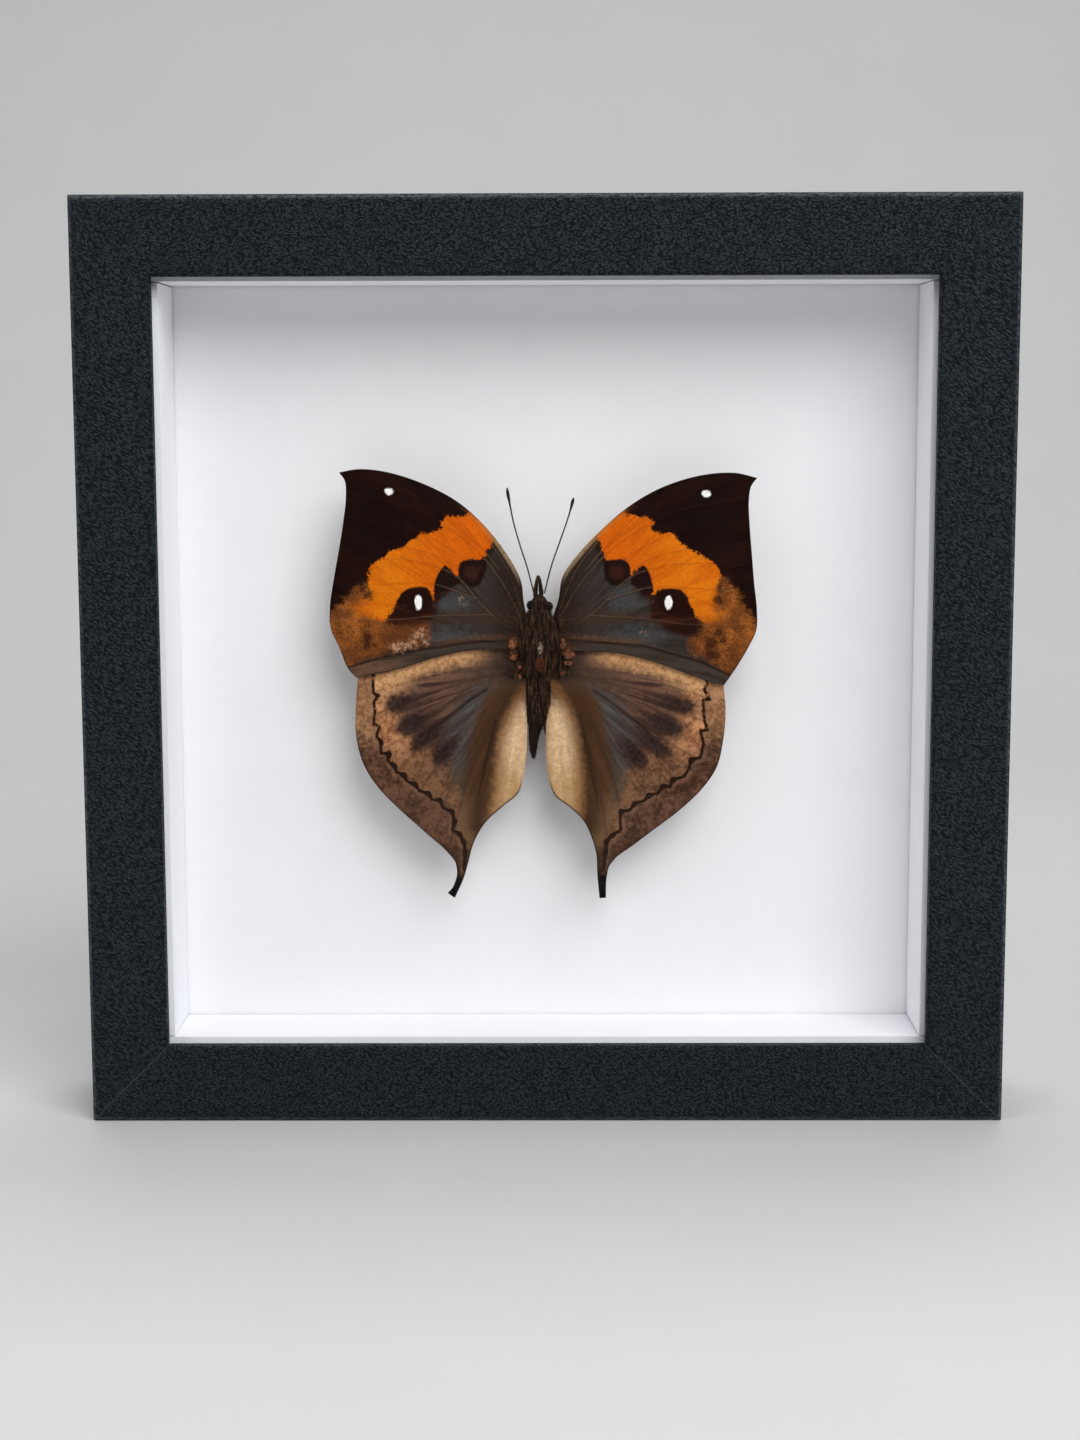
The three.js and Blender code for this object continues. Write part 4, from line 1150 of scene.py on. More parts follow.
HINDWING_STEPS = (200, 140)
HINDWING_HEIGHT, HINDWING_CAMBER = -0.3, 0.5
FOLD_SINK, FOLD_REACH = 0.9, 3.0
ROOT_RISE = 4.5


def make_hindwing(side):
    outline = HINDWINGS[side]
    inner, costa = tucked(outline["inner"], ROOT_RISE), tucked(outline["costa"], ROOT_RISE)
    ends = [inner[-1], outline["outer"][-1]]
    grid = coons_patch(inner, outline["outer"], costa, ends, *HINDWING_STEPS)
    flat = grid.reshape(-1, 2)
    vein = vein_distance(flat, HINDWING_VEINS, HINDWINGS, side)
    values = hindwing_values(flat, side, outline, HINDWING_MARKS[side], vein)
    sink = FOLD_SINK * (1 - np.exp(-np.maximum(values["fold"], 0) / FOLD_REACH))
    height = HINDWING_HEIGHT + HINDWING_CAMBER * camber(*HINDWING_STEPS) + wing_relief(flat, vein) - sink
    base = np.array(outline["inner"][0])
    return add_wing("wing_hind_" + side, "hindwing_" + side, grid, height, base,
                    values)


hindwings = [make_hindwing(side) for side in ("left", "right")]

# %% [markdown]
# The hindwing's finish has softer edges than the forewing's. Most of it is a slow change from the base
# outwards, which the mesh carries as a share of the way to the zigzag, broken by streaks along the rays.
# The marks lie over that.

# %% Hindwing scales


def hindwing_ground(f, up, soft):
    """Brown and mauve streaks that turn sandy towards the zigzag, tan in front, slate in the middle."""
    reach = f.sum(f.value("reach"), f.times(f.lumps, 0.09))
    middle = f.tones(f.streaks, 0.36, 0.64, (58, 40, 33), (118, 86, 68))
    paint = f.mix(f.step(reach, 0.24, 0.6), ink(50, 40, 32), middle)
    sandy = f.tones(soft, 0.38, 0.6, (126, 78, 49), (196, 140, 98))
    lower = f.tones(soft, 0.38, 0.6, (78, 53, 37), (124, 88, 62))
    sandy = f.mix(f.step(up, -18.0, -28.0), sandy, lower)
    tilted = f.sum(reach, f.times(up, -0.0085), -0.102)
    ring = f.times(f.step(tilted, 0.5, 0.7), f.step(up, -5.0, -10.0))
    paint = f.mix(f.times(ring, f.step(f.streaks, 0.62, 0.42)), paint, ink(62, 41, 34))
    paint = f.mix(f.step(tilted, 0.8, 0.92), paint, sandy)
    front = f.sum(f.value("front"), f.times(f.lumps, 2.0))
    bright = f.times(f.step(front, 4.6, 0.8), f.step(f.value("out"), 9.0, 17.0))
    tan = f.tones(f.mottle, 0.34, 0.6, (166, 116, 77), (210, 160, 112))
    paint = f.mix(bright, paint, tan)
    corner = f.times(f.step(f.value("out"), 25.0, 34.0), f.step(up, -15.0, -8.5))
    right = f.step(f.value("across"), -1.0, 1.0)
    paint = f.mix(f.times(corner, f.ramp(right, 0.0, 1.0, 0.85, 0.3)), paint, tan)
    slate = f.tones(f.streaks, 0.38, 0.62, (57, 52, 48), (84, 82, 80))
    slate = f.mix(f.times(f.step(up, -20.0, -30.0), 0.7), slate, ink(74, 61, 47))
    return f.mix(f.step(f.sum(f.value("blue"), f.times(f.lumps, 2.6)), -2.4, 1.2), paint, slate)


def blots_and_veins(f, paint, up):
    """The golden strips beside the fold, the crease, the dark blots and the lines of the veins."""
    beside = f.sum(f.value("fold"), f.times(f.lumps, 1.4))
    below = f.step(up, -6.0, -12.0)
    strip = f.tones(f.streaks, 0.3, 0.7, (52, 32, 17), (72, 47, 27))
    golden = f.tones(f.streaks, 0.3, 0.7, (60, 38, 21), (86, 58, 35))
    golden = f.mix(f.step(up, -31.0, -38.0), golden, ink(102, 77, 51))
    paint = f.mix(f.times(f.step(beside, -8.0, -4.5), below), paint, golden)
    paint = f.mix(f.times(f.step(beside, -6.0, -2.0), below), paint, strip)
    creased = f.times(f.near("inner_line", 0.2, 0.35), f.step(up, -38.0, -30.0))
    paint = f.mix(f.times(creased, 0.7), paint, ink(36, 23, 14))
    dusk = f.step(f.sum(f.value("blots"), f.times(f.lumps, 1.6)), -2.6, 0.6)
    paint = f.mix(f.times(dusk, 0.55), paint, ink(66, 44, 36))
    blots = f.tones(f.mottle, 0.4, 0.6, (34, 21, 15), (46, 35, 35))
    paint = f.mix(f.times(f.mark("blots", 0.9, 1.6, 0.9), 0.92), paint, blots)
    vein_lines = f.times(f.near("vein", 0.15, 0.3), f.spread(f.mottle, 0.1, 0.7))
    paint = f.mix(vein_lines, paint, ink(44, 29, 22))
    return f.mix(f.times(f.near("vein_line", 0.3, 0.45), 0.85), paint, ink(36, 23, 18))


def hem_and_zigzag(f, paint, up, soft):
    """The mottled hem outside the zigzag, its pale halo, and the zigzag, which thickens at its cusps."""
    hem_low = f.tones(soft, 0.38, 0.62, (58, 37, 25), (106, 73, 55))
    hem_high = f.tones(soft, 0.38, 0.6, (118, 80, 52), (168, 124, 88))
    hem = f.mix(f.step(f.sum(up, f.times(f.lumps, 5.0)), -17.0, -23.0), hem_high, hem_low)
    paint = f.mix(f.step(f.value("zig"), 0.15, -0.25), paint, hem)
    paint = f.mix(f.step(up, -43.0, -47.5), paint, ink(60, 40, 24))
    halo = f.times(f.step(f.value("zig"), -1.7, -0.6), f.step(f.value("zig"), -0.1, -0.5))
    paint = f.mix(f.times(halo, f.step(f.dots, 0.4, 0.6), 0.5), paint, ink(140, 102, 78))
    wavy = f.sum(f.value("line"), f.times(f.ragged, 0.3))
    wedge = f.times(f.step(f.value("cusp"), 1.3, 0.0), f.step(up, -17.0, -24.0))
    thick = f.sum(f.times(wedge, 0.55), 0.33)
    inside = f.step(f.math("SUBTRACT", thick, wavy), -0.12, 0.1)
    dots = f.sum(f.step(up, -15.0, -23.0), f.step(f.mottle, 0.38, 0.5))
    return f.mix(f.times(inside, f.step(dots, 0.0, 0.6)), paint, ink(34, 19, 12))


def cream_fold(f, paint, up):
    """The pale fold beside the abdomen, darker at its top, at its foot and along its crease."""
    fibres = f.sum(f.times(f.streaks, 0.5), f.times(f.mottle, 0.5))
    cream = f.tones(fibres, 0.36, 0.62, (188, 151, 112), (222, 189, 151))
    foot = f.times(f.step(up, -22.0, -33.0), f.spread(f.clouds, 0.4, 0.9))
    cream = f.mix(foot, cream, ink(166, 128, 80))
    cream = f.mix(f.step(f.sum(up, f.times(f.lumps, 3.0)), -15.0, -9.5), cream, ink(92, 66, 48))
    cream = f.mix(f.times(f.step(f.value("fold"), 3.6, 0.2), 0.85), cream, ink(124, 84, 47))
    return f.mix(f.mark("fold", 1.2, 0.9, 0.4), paint, cream)


def root_and_rims(f, paint, up):
    """The furry root, the dark rims and the black tail."""
    near = f.times(f.step(f.value("out"), 10.5, 5.0), f.step(up, -9.0, -4.0))
    paint = f.root(paint, near)
    rim = f.times(f.near("outer", 0.2, 0.25), f.step(up, -15.0, -21.0))
    tail_rim = f.times(f.near("inner", 0.3, 0.3), f.step(up, -28.5, -33.0))
    paint = f.mix(f.either(rim, tail_rim), paint, ink(30, 17, 11))
    return f.mix(f.step(f.sum(f.value("tail"), f.lumps), -1.0, 0.6), paint, ink(12, 8, 7))


def hindwing_scales():
    f = WingFinish("hindwing_paint")
    up = f.value("up")
    soft = f.sum(f.times(f.clouds, 0.4), f.times(f.mottle, 0.6))
    paint = hindwing_ground(f, up, soft)
    paint = blots_and_veins(f, paint, up)
    paint = hem_and_zigzag(f, paint, up, soft)
    paint = cream_fold(f, paint, up)
    paint = root_and_rims(f, paint, up)
    f.finish(paint, dead_leaf(f))
    return f


dress(hindwing_scales(), *hindwings)

# %% [markdown]
# ## The body
# The body is three ovals swept along the line from head to tail: the head with its eyes and palps, the
# thorax that carries the wings and legs, and the ringed abdomen. An oval sweep is a grid of stations
# along and angles round. The fur is real mesh: each hair is a three-sided spike, bent back once, and
# thousands of them are worked out at once.

# %% Sweeps and hairs
HAIR_PLACES = 7
PATH_STEPS = 400
PIN_CLEARANCE = 1.0


def around(angle, fullness):
    """A point on a unit oval. A fullness under 1 makes it squarer: each coordinate is a power of the
    cosine or sine."""
    cosine, sine = np.cos(angle), np.sin(angle)
    return np.sign(cosine) * np.abs(cosine) ** fullness, np.sign(sine) * np.abs(sine) ** fullness


def oval_sweep(stations, steps, sides, dome=0.05, ripple=None, fullness=1.0):
    """Ovals carried along a curve. A station is x, y, height, half width and half height. Both ends close
    in a dome: the half sizes shrink as a quarter ellipse over the first and last part of the way. Ripple
    scales them."""
    path = smooth_curve(stations, steps)
    share = np.linspace(0, 1, steps)
    to_end = np.minimum(share, 1 - share) / dome
    size = np.sqrt(np.clip(1 - (1 - np.minimum(to_end, 1)) ** 2, 1e-6, 1))
    size = size * (ripple(share) if ripple else 1)
    across, over = around(np.linspace(0, 2 * np.pi, sides, endpoint=False), fullness)
    x = path[:, 0, None] + (path[:, 3] * size)[:, None] * across
    z = path[:, 2, None] + (path[:, 4] * size)[:, None] * over
    places = np.stack([x, np.repeat(path[:, 1, None], sides, 1), z], -1).reshape(-1, 3)
    ends = path[[0, -1], :3]
    return np.vstack([places, ends]), tube_faces(steps, sides)


def tube_faces(steps, sides):
    """The quads of a closed tube and the triangles that close its ends, whose middles are the last two
    places."""
    now = np.arange(sides)
    after = (now + 1) % sides
    first, last = steps * sides, (steps - 1) * sides
    start = np.stack([np.full(sides, first), after, now], -1)
    end = np.stack([np.full(sides, first + 1), last + now, last + after], -1)
    return [grid_faces(steps, sides, closed=True), np.vstack([start, end])]


def round_tube(points, radii, steps, sides):
    """A round tube along a curve through points, its radius running smoothly through the given values."""
    path = smooth_curve(np.column_stack([points, radii]), steps)
    line_of, radius = path[:, :3], path[:, 3, None, None]
    tangent = np.gradient(line_of, axis=0)
    tangent /= np.linalg.norm(tangent, axis=1, keepdims=True)
    across = np.cross(tangent, (1.0, 0.13, 0.07))
    across /= np.linalg.norm(across, axis=1, keepdims=True)
    over = np.cross(tangent, across)
    angle = np.linspace(0, 2 * np.pi, sides, endpoint=False)[None, :, None]
    ring = across[:, None] * np.cos(angle) + over[:, None] * np.sin(angle)
    places = (line_of[:, None] + radius * ring).reshape(-1, 3)
    return np.vstack([places, line_of[[0, -1]]]), tube_faces(steps, sides)


def ball(middle, half_sizes, steps=24, sides=32):
    """An ovoid: rings of latitude carried from pole to pole."""
    rise = np.linspace(-0.98, 0.98, steps) * np.pi / 2
    angle = np.linspace(0, 2 * np.pi, sides, endpoint=False)
    unit = np.stack([np.outer(np.cos(rise), np.cos(angle)), np.outer(np.sin(rise), np.ones(sides)),
                     np.outer(np.cos(rise), np.sin(angle))], -1).reshape(-1, 3)
    unit = np.vstack([unit, [(0, -1, 0), (0, 1, 0)]])
    return unit * half_sizes + middle, tube_faces(steps, sides)


def hairs(roots, ways, lengths, bend, radius):
    """Three-sided spikes. Each has a ring of three places at its root, a thinner ring half way, moved by
    the bend, and one place at its tip, moved four times as far."""
    ways = ways / np.linalg.norm(ways, axis=1, keepdims=True)
    across = np.cross(ways, (0.31, 0.17, 0.93))
    across /= np.linalg.norm(across, axis=1, keepdims=True)
    over = np.cross(ways, across)
    angle = np.arange(3) * 2 * np.pi / 3
    ring = across[:, None] * np.cos(angle)[None, :, None] + over[:, None] * np.sin(angle)[None, :, None]
    half = roots + ways * lengths[:, None] / 2 + bend / 4
    tip = roots + ways * lengths[:, None] + bend
    places = np.concatenate([roots[:, None] + ring * radius, half[:, None] + ring * radius * 0.7,
                             tip[:, None]], 1)
    start = np.arange(len(roots))[:, None, None] * HAIR_PLACES
    sides = np.array([(0, 1, 4, 3), (1, 2, 5, 4), (2, 0, 3, 5)])
    ends = np.array([(3, 4, 6), (4, 5, 6), (5, 3, 6), (2, 1, 0)])
    return places.reshape(-1, 3), [(start + sides).reshape(-1, 4), (start + ends).reshape(-1, 3)]


def fur_on(stations, count, length, rng, bare=0.88, back=1.3, radius=0.045, ends=(0.02, 0.98),
           fullness=1.0, lift=0.5):
    """Hairs on an oval sweep: rooted at random shares of the way and angles round, leaning back along the
    body, in tufts whose lean changes slowly from place to place. No hair grows within a millimetre of the
    pin."""
    path = smooth_curve(stations, PATH_STEPS)
    share, angle = rng.uniform(*ends, count), rng.uniform(0, 2 * np.pi, count)
    at = path[(share * (PATH_STEPS - 1)).astype(int)]
    across, over = around(angle, fullness)
    still = np.zeros(count)
    out = np.stack([np.cos(angle), still, np.sin(angle)], -1)
    roots = at[:, :3] + np.stack([across * at[:, 3], still, over * at[:, 4]], -1) * bare
    tuft = np.stack([np.sin(9 * angle + 31 * share), still, np.cos(7 * angle - 23 * share)], -1)
    ways = out * lift + np.array([0, -back, 0]) + 0.3 * tuft + rng.normal(0, 0.2, (count, 3))
    lengths = length * rng.uniform(0.5, 1.15, count)
    bend = -0.25 * out * lengths[:, None] + rng.normal(0, 0.06, (count, 3))
    clear = (np.linalg.norm(roots[:, :2], axis=1) > PIN_CLEARANCE) | (roots[:, 2] < 0)
    return hairs(roots[clear], ways[clear], lengths[clear], bend[clear], radius)


# %% [markdown]
# The three parts of the body follow. Each joins its smooth core and its fur in one mesh, which carries
# one number, a tone: it is even on the core and differs from hair to hair, so that one finish can colour
# both. The core is a little smaller than the solid piece, and the fur fills what is left. Short hairs
# also lie over the wings' roots.

# %% Make the body
HEAD = [(0, 11.7, -0.9, 0.3, 0.3), (0.1, 11, -0.9, 1.3, 1.3), (0.15, 10, -0.9, 1.9, 1.8),
        (0.15, 9, -0.9, 2.2, 1.8), (0.1, 8, -0.9, 2.2, 1.6)]
THORAX = [(0, 8.7, -0.9, 1.6, 1.4), (0, 7.6, -0.9, 2.7, 2.3), (0, 5, -0.9, 3.3, 3),
          (0, 2, -0.9, 3.5, 3.1), (0, -1.5, -0.9, 3.5, 3.1), (0, -4.5, -1, 3.1, 2.8),
          (0, -6.4, -1.1, 2.5, 2.3)]
ABDOMEN = [(-0.1, -5.8, -1.2, 2.4, 2.1), (-0.15, -8.5, -1.3, 2.8, 2.4), (-0.2, -12, -1.4, 2.6, 2.3),
           (-0.65, -16, -1.6, 1.9, 2), (-1.15, -19, -1.8, 1.2, 1.5), (-1.35, -22, -2, 0.75, 0.9),
           (-1.3, -24.5, -2.1, 0.15, 0.2)]
WISP = [(0.7, -15, -1, 0.3, 0.3), (1.1, -17, -1, 0.28, 0.25), (1.4, -19.2, -1.2, 0.06, 0.06)]
PALP = [(0.6, 10.6, -1.2, 0.4, 0.5), (0.62, 12.2, -0.9, 0.52, 0.6), (0.38, 14.1, -0.4, 0.36, 0.4),
        (0.12, 15.6, 0, 0.1, 0.1)]
PALP_LEAN = -0.15
SHOULDERS = [[(side * 1.9, 7.2, 0.4, 0.5, 0.5), (side * 2.6, 5.2, 0.7, 0.9, 0.8),
              (side * 3, 2.4, 0.8, 0.9, 0.7), (side * 3.1, -0.6, 0.7, 0.6, 0.4)] for side in (-1, 1)]
LEGS = [[(1, 5, -2.6), (1.7, 7, -4.2), (1.3, 5, -5)],
        [(1.2, 1.8, -3), (3.1, 3.6, -5.2), (2.7, -1.5, -6.2), (2, -5.5, -6.7)],
        [(1.3, -2, -3), (3.4, -3, -5), (2.9, -7.5, -5.9), (2.3, -12, -6.6)]]
LEG_RADIUS = 0.28
CORE = 0.9
THORAX_FULLNESS = 0.75
SEGMENTS = 8
CORE_TONE = 0.3
ROOT_FUR_SPAN, ROOT_FUR_START, ROOT_FUR_REACH, ROOT_FUR_RADIUS = (-6.5, 6.5), 2.8, 4.0, 0.04
FOREWING_ENDS, FOREWING_LEVEL, HINDWING_LEVEL = -0.5, 0.75, -0.15
rng = np.random.default_rng(7)


def shrunk(stations, share):
    """The same stations with smaller ovals."""
    return [(*s[:3], s[3] * share, s[4] * share) for s in stations]


def rings(share):
    """The abdomen's rings: each is widest at its rear edge, and then steps in under the next."""
    return 0.96 + 0.06 * ((share * SEGMENTS) % 1.0) ** 2


def add_body(name, node, cores, furs):
    """A body piece from its cores and furs, carrying a tone that is even on the cores and differs from
    hair to hair."""
    places, faces = joined(cores + furs)
    count = sum(len(core[0]) for core in cores)
    hair_tone = np.repeat(rng.uniform(0, 1, (len(places) - count) // HAIR_PLACES), HAIR_PLACES)
    tone = np.concatenate([np.full(count, CORE_TONE), hair_tone])
    return add_piece(name, stood_up(places), faces, [node], places[:, :2], {"tone": tone})


def root_fur(side, count):
    """Hairs that lie over the roots of one side's wings, thickest beside the thorax and pointing out and
    back. Those further back lie on the hindwing, which is lower."""
    up = rng.uniform(*ROOT_FUR_SPAN, count)
    out = ROOT_FUR_START + ROOT_FUR_REACH * rng.beta(1.0, 2.4, count)
    level = np.where(up > FOREWING_ENDS, FOREWING_LEVEL, HINDWING_LEVEL)
    ways = np.stack([np.full(count, float(side)), np.full(count, -0.5), np.full(count, 0.12)], -1)
    ways += rng.normal(0, (0.3, 0.4, 0.08), (count, 3))
    lengths = rng.uniform(0.7, 2.2, count)
    bend = np.stack([np.zeros(count), -0.15 * lengths, -0.1 * lengths], -1)
    return hairs(np.stack([side * out, up, level], -1), ways, lengths, bend, ROOT_FUR_RADIUS)


def legs():
    """Three pairs of legs, thick at the thigh and thin at the foot."""
    tubes = []
    for path in LEGS:
        radii = np.linspace(LEG_RADIUS, LEG_RADIUS * 0.45, len(path))
        for side in (-1, 1):
            tubes.append(round_tube(np.array(path) * (side, 1, 1), radii, 40, 10))
    return tubes


def palps(share):
    """The stations of both palps, mirrored and leaned a little, with their ovals made smaller."""
    return [[(side * x + PALP_LEAN, y, z, w * share, h * share) for x, y, z, w, h in PALP]
            for side in (-1, 1)]


thorax_fur = [fur_on(THORAX, 4600, 1.9, rng, bare=0.9, fullness=THORAX_FULLNESS, lift=0.6),
              fur_on(THORAX, 1200, 1.3, rng, bare=0.92, back=0.3, fullness=THORAX_FULLNESS, lift=0.9)]
thorax_fur += [fur_on(shoulder, 1100, 1.5, rng, bare=0.95, lift=0.7) for shoulder in SHOULDERS]
thorax_fur += [root_fur(side, 2000) for side in (-1, 1)]
thorax_cores = [oval_sweep(shrunk(THORAX, CORE), 60, 48, fullness=THORAX_FULLNESS)]
thorax_cores += [oval_sweep(shoulder, 30, 24, dome=0.3) for shoulder in SHOULDERS]
thorax_piece = add_body("thorax_body", "thorax", thorax_cores + legs(), thorax_fur)
abdomen_fur = [fur_on(ABDOMEN, 3200, 1.6, rng, bare=0.94, back=1.7, ends=(0.0, 0.5), lift=0.8),
               fur_on(ABDOMEN, 1400, 1.4, rng, bare=0.92, back=2.0, ends=(0.45, 0.97), lift=0.45),
               fur_on(WISP, 160, 1.0, rng, back=2.5, lift=0.3)]
abdomen_core = oval_sweep(shrunk(ABDOMEN, CORE), 120, 40, ripple=rings)
abdomen_piece = add_body("abdomen_body", "abdomen", [abdomen_core], abdomen_fur)
head_fur = [fur_on(HEAD, 1200, 1.0, rng, lift=0.8)]
head_fur += [fur_on(palp, 600, 0.5, rng, back=-1.8) for palp in palps(1)]
head_cores = [oval_sweep(shrunk(HEAD, CORE), 40, 40, dome=0.15)]
head_cores += [oval_sweep(palp, 30, 16) for palp in palps(0.8)]
head_piece = add_body("head_body", "head", head_cores, head_fur)

# %% [markdown]
# The smaller pieces are the eyes, the antennae, the plates at the wings' bases and the pin. An antenna is
# a thin tube that swells to a club. The plates are worn bare of scales, so they shine. Their mesh carries
# how near each place is to a plate's top, and their finish paints them lighter there and darker towards
# their backs, as painted shade.

# %% Eyes, antennae, wing base plates and pin
EYES = [(-1.75, 9.2, -0.6), (2.1, 8.95, -0.6)]
EYE_SIZE = (1.0, 1.1, 1.0)
ANTENNAE = {
    "left": [(-1.1, 11.9, 0.6, 0.14), (-2.5, 17.5, 1, 0.16), (-4, 22.2, 1.4, 0.16),
             (-5.4, 27.2, 1.8, 0.16), (-6.2, 31.2, 2.1, 0.2), (-6.7, 34, 2.3, 0.36),
             (-6.85, 35, 2.4, 0.12)],
    "right": [(1.2, 11.9, 0.6, 0.14), (2.7, 17.8, 1, 0.16), (4.5, 23, 1.4, 0.16), (6.1, 27.6, 1.8, 0.16),
              (6.85, 30, 2, 0.2), (7.4, 32.1, 2.2, 0.36), (7.6, 32.8, 2.25, 0.12)],
}
ANTENNA_STEPS = 260
PLATES = {
    "left": [((-5.8, 1.0, 0.8), (1.15, 1.4, 0.5)), ((-5.6, -1.5, 0.3), (1.05, 1.5, 0.6)),
             ((-4.3, -4.1, 0.1), (0.5, 0.7, 0.4)), ((-4.3, -6.7, -0.1), (0.45, 0.8, 0.35))],
    "right": [((6.5, -1.2, 0.3), (1.5, 1.6, 0.6)), ((6.3, -3.5, 0.1), (1.0, 0.65, 0.4)),
              ((5.2, 0.9, 0.8), (0.7, 1.2, 0.4)), ((5.1, -5.6, -0.1), (0.6, 0.6, 0.35))],
}
PIN_SIDES = 24


def compound_eyes():
    """Two ovoids in one mesh."""
    places, faces = joined([ball(middle, EYE_SIZE) for middle in EYES])
    return add_piece("compound_eyes", stood_up(places), faces)


def antenna(side):
    """A round tube through the stations, whose last number is the radius."""
    stations = np.array(ANTENNAE[side])
    places, faces = round_tube(stations[:, :3], stations[:, 3], ANTENNA_STEPS, 10)
    return add_piece("antenna_tube_" + side, stood_up(places), faces, ["antenna_" + side])


def plates(side):
    """The ovoids of one side in one mesh, with a number that runs from -1 at their backs to 1 on their
    tops, from which their finish paints shade."""
    ovoids = [ball(middle, sizes, 16, 20) for middle, sizes in PLATES[side]]
    lit_crown = [(ovoid[0] - middle)[:, 2] / sizes[2] for ovoid, (middle, sizes) in zip(ovoids, PLATES[side])]
    places, faces = joined(ovoids)
    return add_piece("wing_base_plates_" + side, stood_up(places), faces,
                     values={"lit_crown": np.concatenate(lit_crown)})


def steel_pin():
    """A turned profile: a rounded top, a straight shaft and a long point, carried round the pin's
    line."""
    radius = (pin_high[0] - pin_low[0]) / 2
    top, tip = PIN_ABOVE, PIN_ABOVE - (pin_high[1] - pin_low[1])
    along = np.array([top, top - 0.04, top - 0.12, top - 0.3, tip + 3, tip + 1, tip])
    size = radius * np.array([0.35, 0.7, 0.92, 1, 1, 0.45, 0.05])
    angle = np.linspace(0, 2 * np.pi, PIN_SIDES, endpoint=False)
    ring = np.stack([np.outer(size, np.cos(angle)), np.outer(size, np.sin(angle)),
                     np.repeat(along[:, None], PIN_SIDES, 1)], -1).reshape(-1, 3)
    places = np.vstack([ring, [(0, 0, top), (0, 0, tip)]])
    return add_piece("steel_pin", stood_up(places), tube_faces(len(along), PIN_SIDES),
                     ["pin"])


eyes = compound_eyes()
antennae = [antenna(side) for side in ("left", "right")]
base_plates = [plates(side) for side in ("left", "right")]
pin = steel_pin()

# %% [markdown]
# The body's finish is dark brown, in lengthwise streaks of black and a warmer brown, with a pale patch
# round the pin and a chestnut one behind it. The eyes are nearly black and the plates chestnut, and both
# are glossy. The antennae are dark, with the faint bumps of their rings.

# %% Finishes of the body


def body_fur():
    f = Finish("brown_fur", Specular_IOR_Level=0.12)
    streaks = f.noise(f.stretched(f.lay, (1.8, 0.26, 1)), 1.0, 2.0, 0.6)
    tufts = f.noise(f.where, 1.6, 2.0)
    tip = f.step(f.axes(f.lay)["Y"], -14.0, -18.0)
    light = f.tones(f.value("tone"), 0.1, 0.9, (44, 28, 17), (108, 78, 52))
    light = f.mix(f.times(tip, 0.8), light, ink(34, 21, 12))
    dark = f.tones(f.value("tone"), 0.3, 1.0, (11, 5, 2), (40, 24, 13))
    paint = f.mix(f.step(f.sum(f.times(streaks, 0.7), f.times(tufts, 0.3)), 0.43, 0.62), dark, light)
    blush = f.times(f.oval(0.25, -3.5, 1.3, 2.0), f.spread(tufts, 0.7, 1.0))
    chestnut = f.tones(tufts, 0.4, 0.6, (60, 26, 12), (104, 50, 25))
    paint = f.mix(f.times(blush, 0.85), paint, chestnut)
    # A pale patch painted on the fur round the pin.
    rubbed = f.times(f.oval(0.25, 0.1, 0.55, 1.5), f.step(tufts, 0.32, 0.5))
    paint = f.mix(f.times(rubbed, 0.85), paint, ink(150, 132, 116))
    f.put("Base Color", paint)
    f.put("Roughness", f.spread(tufts, 0.5, 0.8))
    f.bump(tufts, 0.08)
    return f


def glossy(name, low, high, scale, cells, shine=0.3):
    """A glossy dark cuticle, in two tones, with a bump of cells."""
    f = Finish(name, Specular_IOR_Level=shine)
    tone = f.noise(f.where, scale, 3.0, 0.6)
    f.put("Base Color", f.mix(f.step(tone, 0.35, 0.65), low, high))
    f.put("Roughness", f.spread(tone, 0.16, 0.36))
    f.bump(f.inverse(f.cells(f.where, cells)), 0.05)
    return f


def bare_plates():
    f = Finish("chestnut_plates", Specular_IOR_Level=0.4)
    tone = f.noise(f.where, 1.0, 3.0, 0.6)
    # Painted shade: the plates are painted lighter on their tops and darker towards their backs.
    bare = f.step(f.sum(f.times(f.value("lit_crown"), 0.5), f.spread(tone, -1.0, 1.0)), -0.3, 1.3)
    f.put("Base Color", f.mix(bare, ink(46, 22, 10), ink(134, 74, 36)))
    f.put("Roughness", f.spread(tone, 0.12, 0.35))
    f.bump(tone, 0.2)
    return f


def bright_steel():
    f = Finish("bright_steel", Metallic=1.0)
    turning = f.noise(f.stretched(f.where, (1, 12, 1)), 2.0, 2.0)
    f.put("Base Color", f.mix(turning, (0.5, 0.5, 0.5, 1), (0.66, 0.65, 0.63, 1)))
    f.put("Roughness", f.spread(turning, 0.25, 0.4))
    return f


dress(body_fur(), thorax_piece, abdomen_piece, head_piece)
dress(glossy("eye_facets", ink(10, 6, 4), ink(26, 16, 12), 0.8, 7.0, 0.15), eyes)
dress(glossy("antenna_rings", ink(14, 11, 9), ink(34, 28, 24), 1.2, 3.0), *antennae)
dress(bare_plates(), *base_plates)
dress(bright_steel(), pin)

# %% [markdown]
# ## Stage and light
# The frame stands on a plain pale floor that curves up into a backdrop, so no horizon crosses the
# picture. The main light is a large soft lamp in front, above and to the right: it leaves the top of the
# board in the frame's own shade, and throws the wings' soft shadow down and to the left. A weaker lamp on
# the other side fills the shade.

# %% Floor, lamps and view
FLOOR_FRONT, FLOOR_BACK, FLOOR_HALF_WIDTH = -450.0, 500.0, 5000.0
COVE_RADIUS, BACKDROP_TOP = 500.0, 2200.0


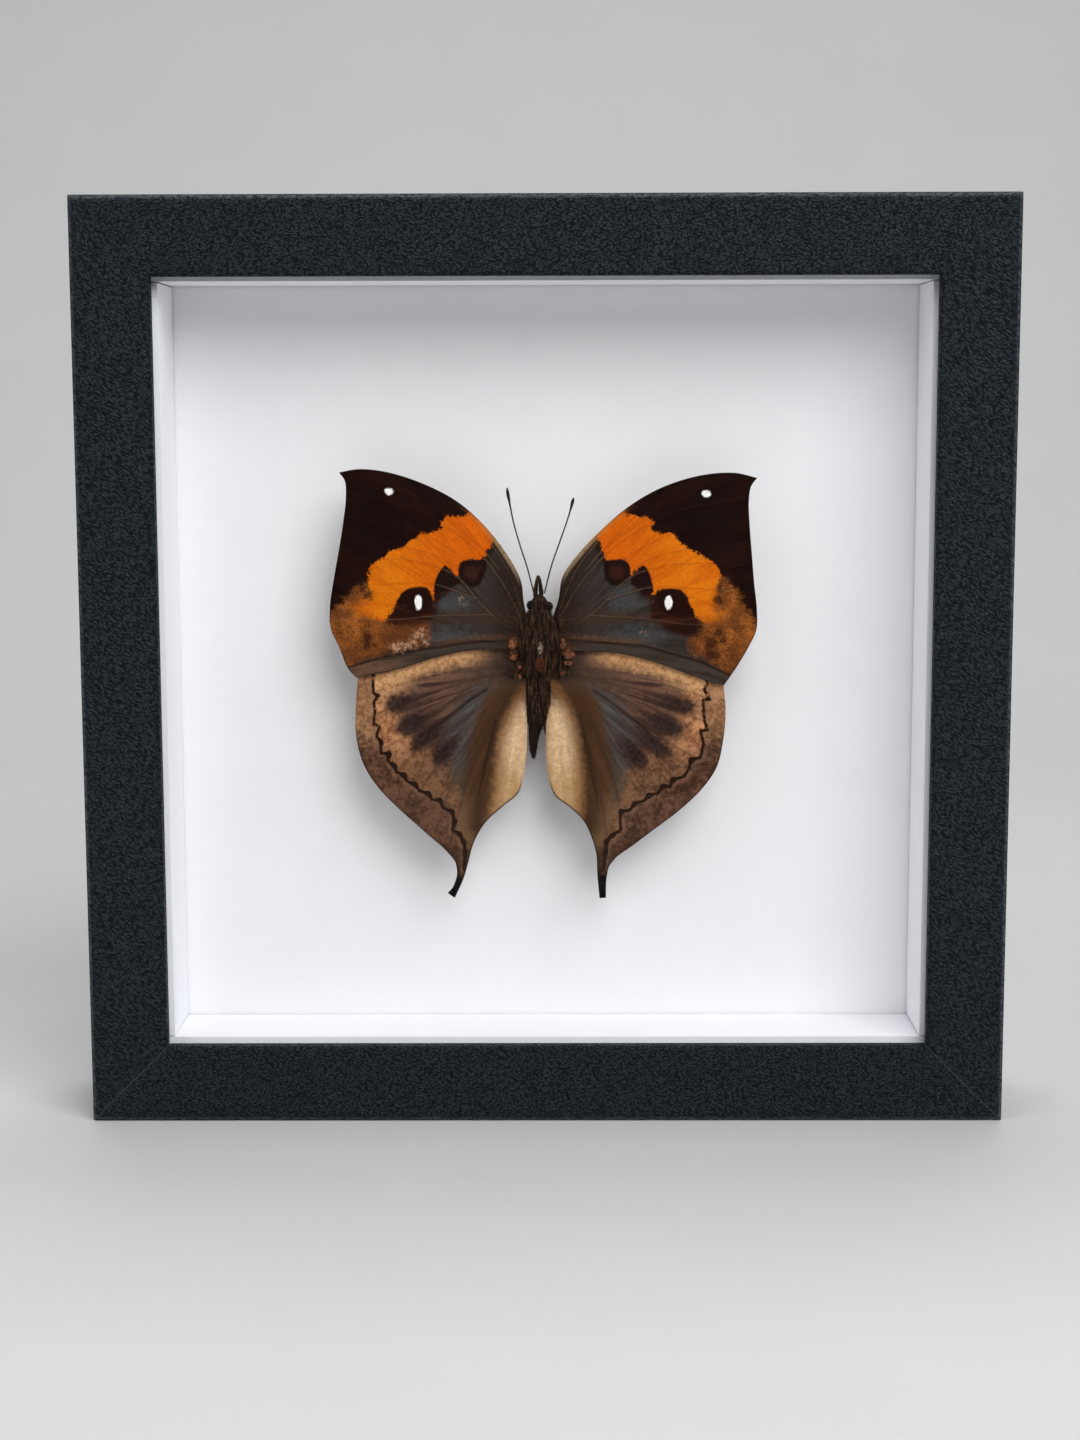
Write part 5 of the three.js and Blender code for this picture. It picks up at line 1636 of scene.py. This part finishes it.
def pale_floor():
    """A flat floor, a quarter circle and an upright wall as one profile, carried across the stage."""
    turn = np.linspace(0, np.pi / 2, 24)
    cove = np.stack([FLOOR_BACK + COVE_RADIUS * np.sin(turn), COVE_RADIUS * (1 - np.cos(turn))], -1)
    profile = np.vstack([(FLOOR_FRONT, 0), cove, (FLOOR_BACK + COVE_RADIUS, BACKDROP_TOP)])
    across = np.linspace(-FLOOR_HALF_WIDTH, FLOOR_HALF_WIDTH, 3)
    places = np.stack([np.repeat(across, len(profile)), *np.tile(profile, (3, 1)).T], -1) * MM
    mesh = bpy.data.meshes.new("pale_floor")
    mesh.from_pydata(places.tolist(), [], grid_faces(3, len(profile)).tolist())
    mesh.shade_smooth()
    floor = bpy.data.objects.new("pale_floor", mesh)
    bpy.context.scene.collection.objects.link(floor)
    f = Finish("pale_paper", Specular_IOR_Level=0.1, Roughness=0.95)
    f.put("Base Color", f.mix(f.noise(f.where, 0.02, 2.0), (0.66, 0.66, 0.66, 1), (0.69, 0.69, 0.69, 1)))
    mesh.materials.append(f.material)
    return floor


def soft_lamp(name, place, aim, width, height, power):
    """An area lamp at a place, in millimetres, turned to face its aim."""
    lamp = bpy.data.lights.new(name, "AREA")
    lamp.shape = "RECTANGLE"
    lamp.size, lamp.size_y, lamp.energy = width * MM, height * MM, power
    holder = bpy.data.objects.new(name, lamp)
    bpy.context.scene.collection.objects.link(holder)
    way = np.array(place, float) - aim
    turn = Matrix.Identity(4)
    back = way / np.linalg.norm(way)
    right = np.cross((0, 0, 1), back)
    right /= np.linalg.norm(right)
    for row, vector in enumerate(zip(right, np.cross(back, right), back)):
        turn[row][:3] = vector
    holder.matrix_world = Matrix.Translation([c * MM for c in place]) @ turn
    holder.visible_transmission = False
    return holder


FRAME_MIDDLE = np.array([0, 0, 100.0])
SKY_LOW, SKY_HIGH = 0.1, 0.22
pale_floor()
soft_lamp("main_lamp", (360, -740, 780), FRAME_MIDDLE, 820, 720, 8.8)
soft_lamp("fill_lamp", (-640, -560, 760), FRAME_MIDDLE, 600, 600, 2)
soft_lamp("back_lamp", (0, 500, 1500), np.array([0, 300, 0]), 900, 600, 8)
world = bpy.data.worlds.new("soft_sky")
world.use_nodes = True
sky = world.node_tree
parts = sky.nodes.new("ShaderNodeSeparateXYZ")
sky.links.new(sky.nodes.new("ShaderNodeTexCoord").outputs["Generated"], parts.inputs[0])
rise = sky.nodes.new("ShaderNodeMapRange")
sky.links.new(parts.outputs["Z"], rise.inputs["Value"])
for key, value in {"From Min": -0.3, "From Max": 0.8, "To Min": SKY_LOW, "To Max": SKY_HIGH}.items():
    rise.inputs[key].default_value = value
sky.links.new(rise.outputs[0], sky.nodes["Background"].inputs["Strength"])
sky.nodes["Background"].inputs["Color"].default_value = (1, 1, 1, 1)
scene = bpy.context.scene
scene.world = world
scene.view_settings.view_transform = "Standard"

# %% [markdown]
# ## Bring the scene up to date
# The dressed object has to keep to the solid model's box.

# %% Bring the scene up to date
bpy.context.view_layer.update()
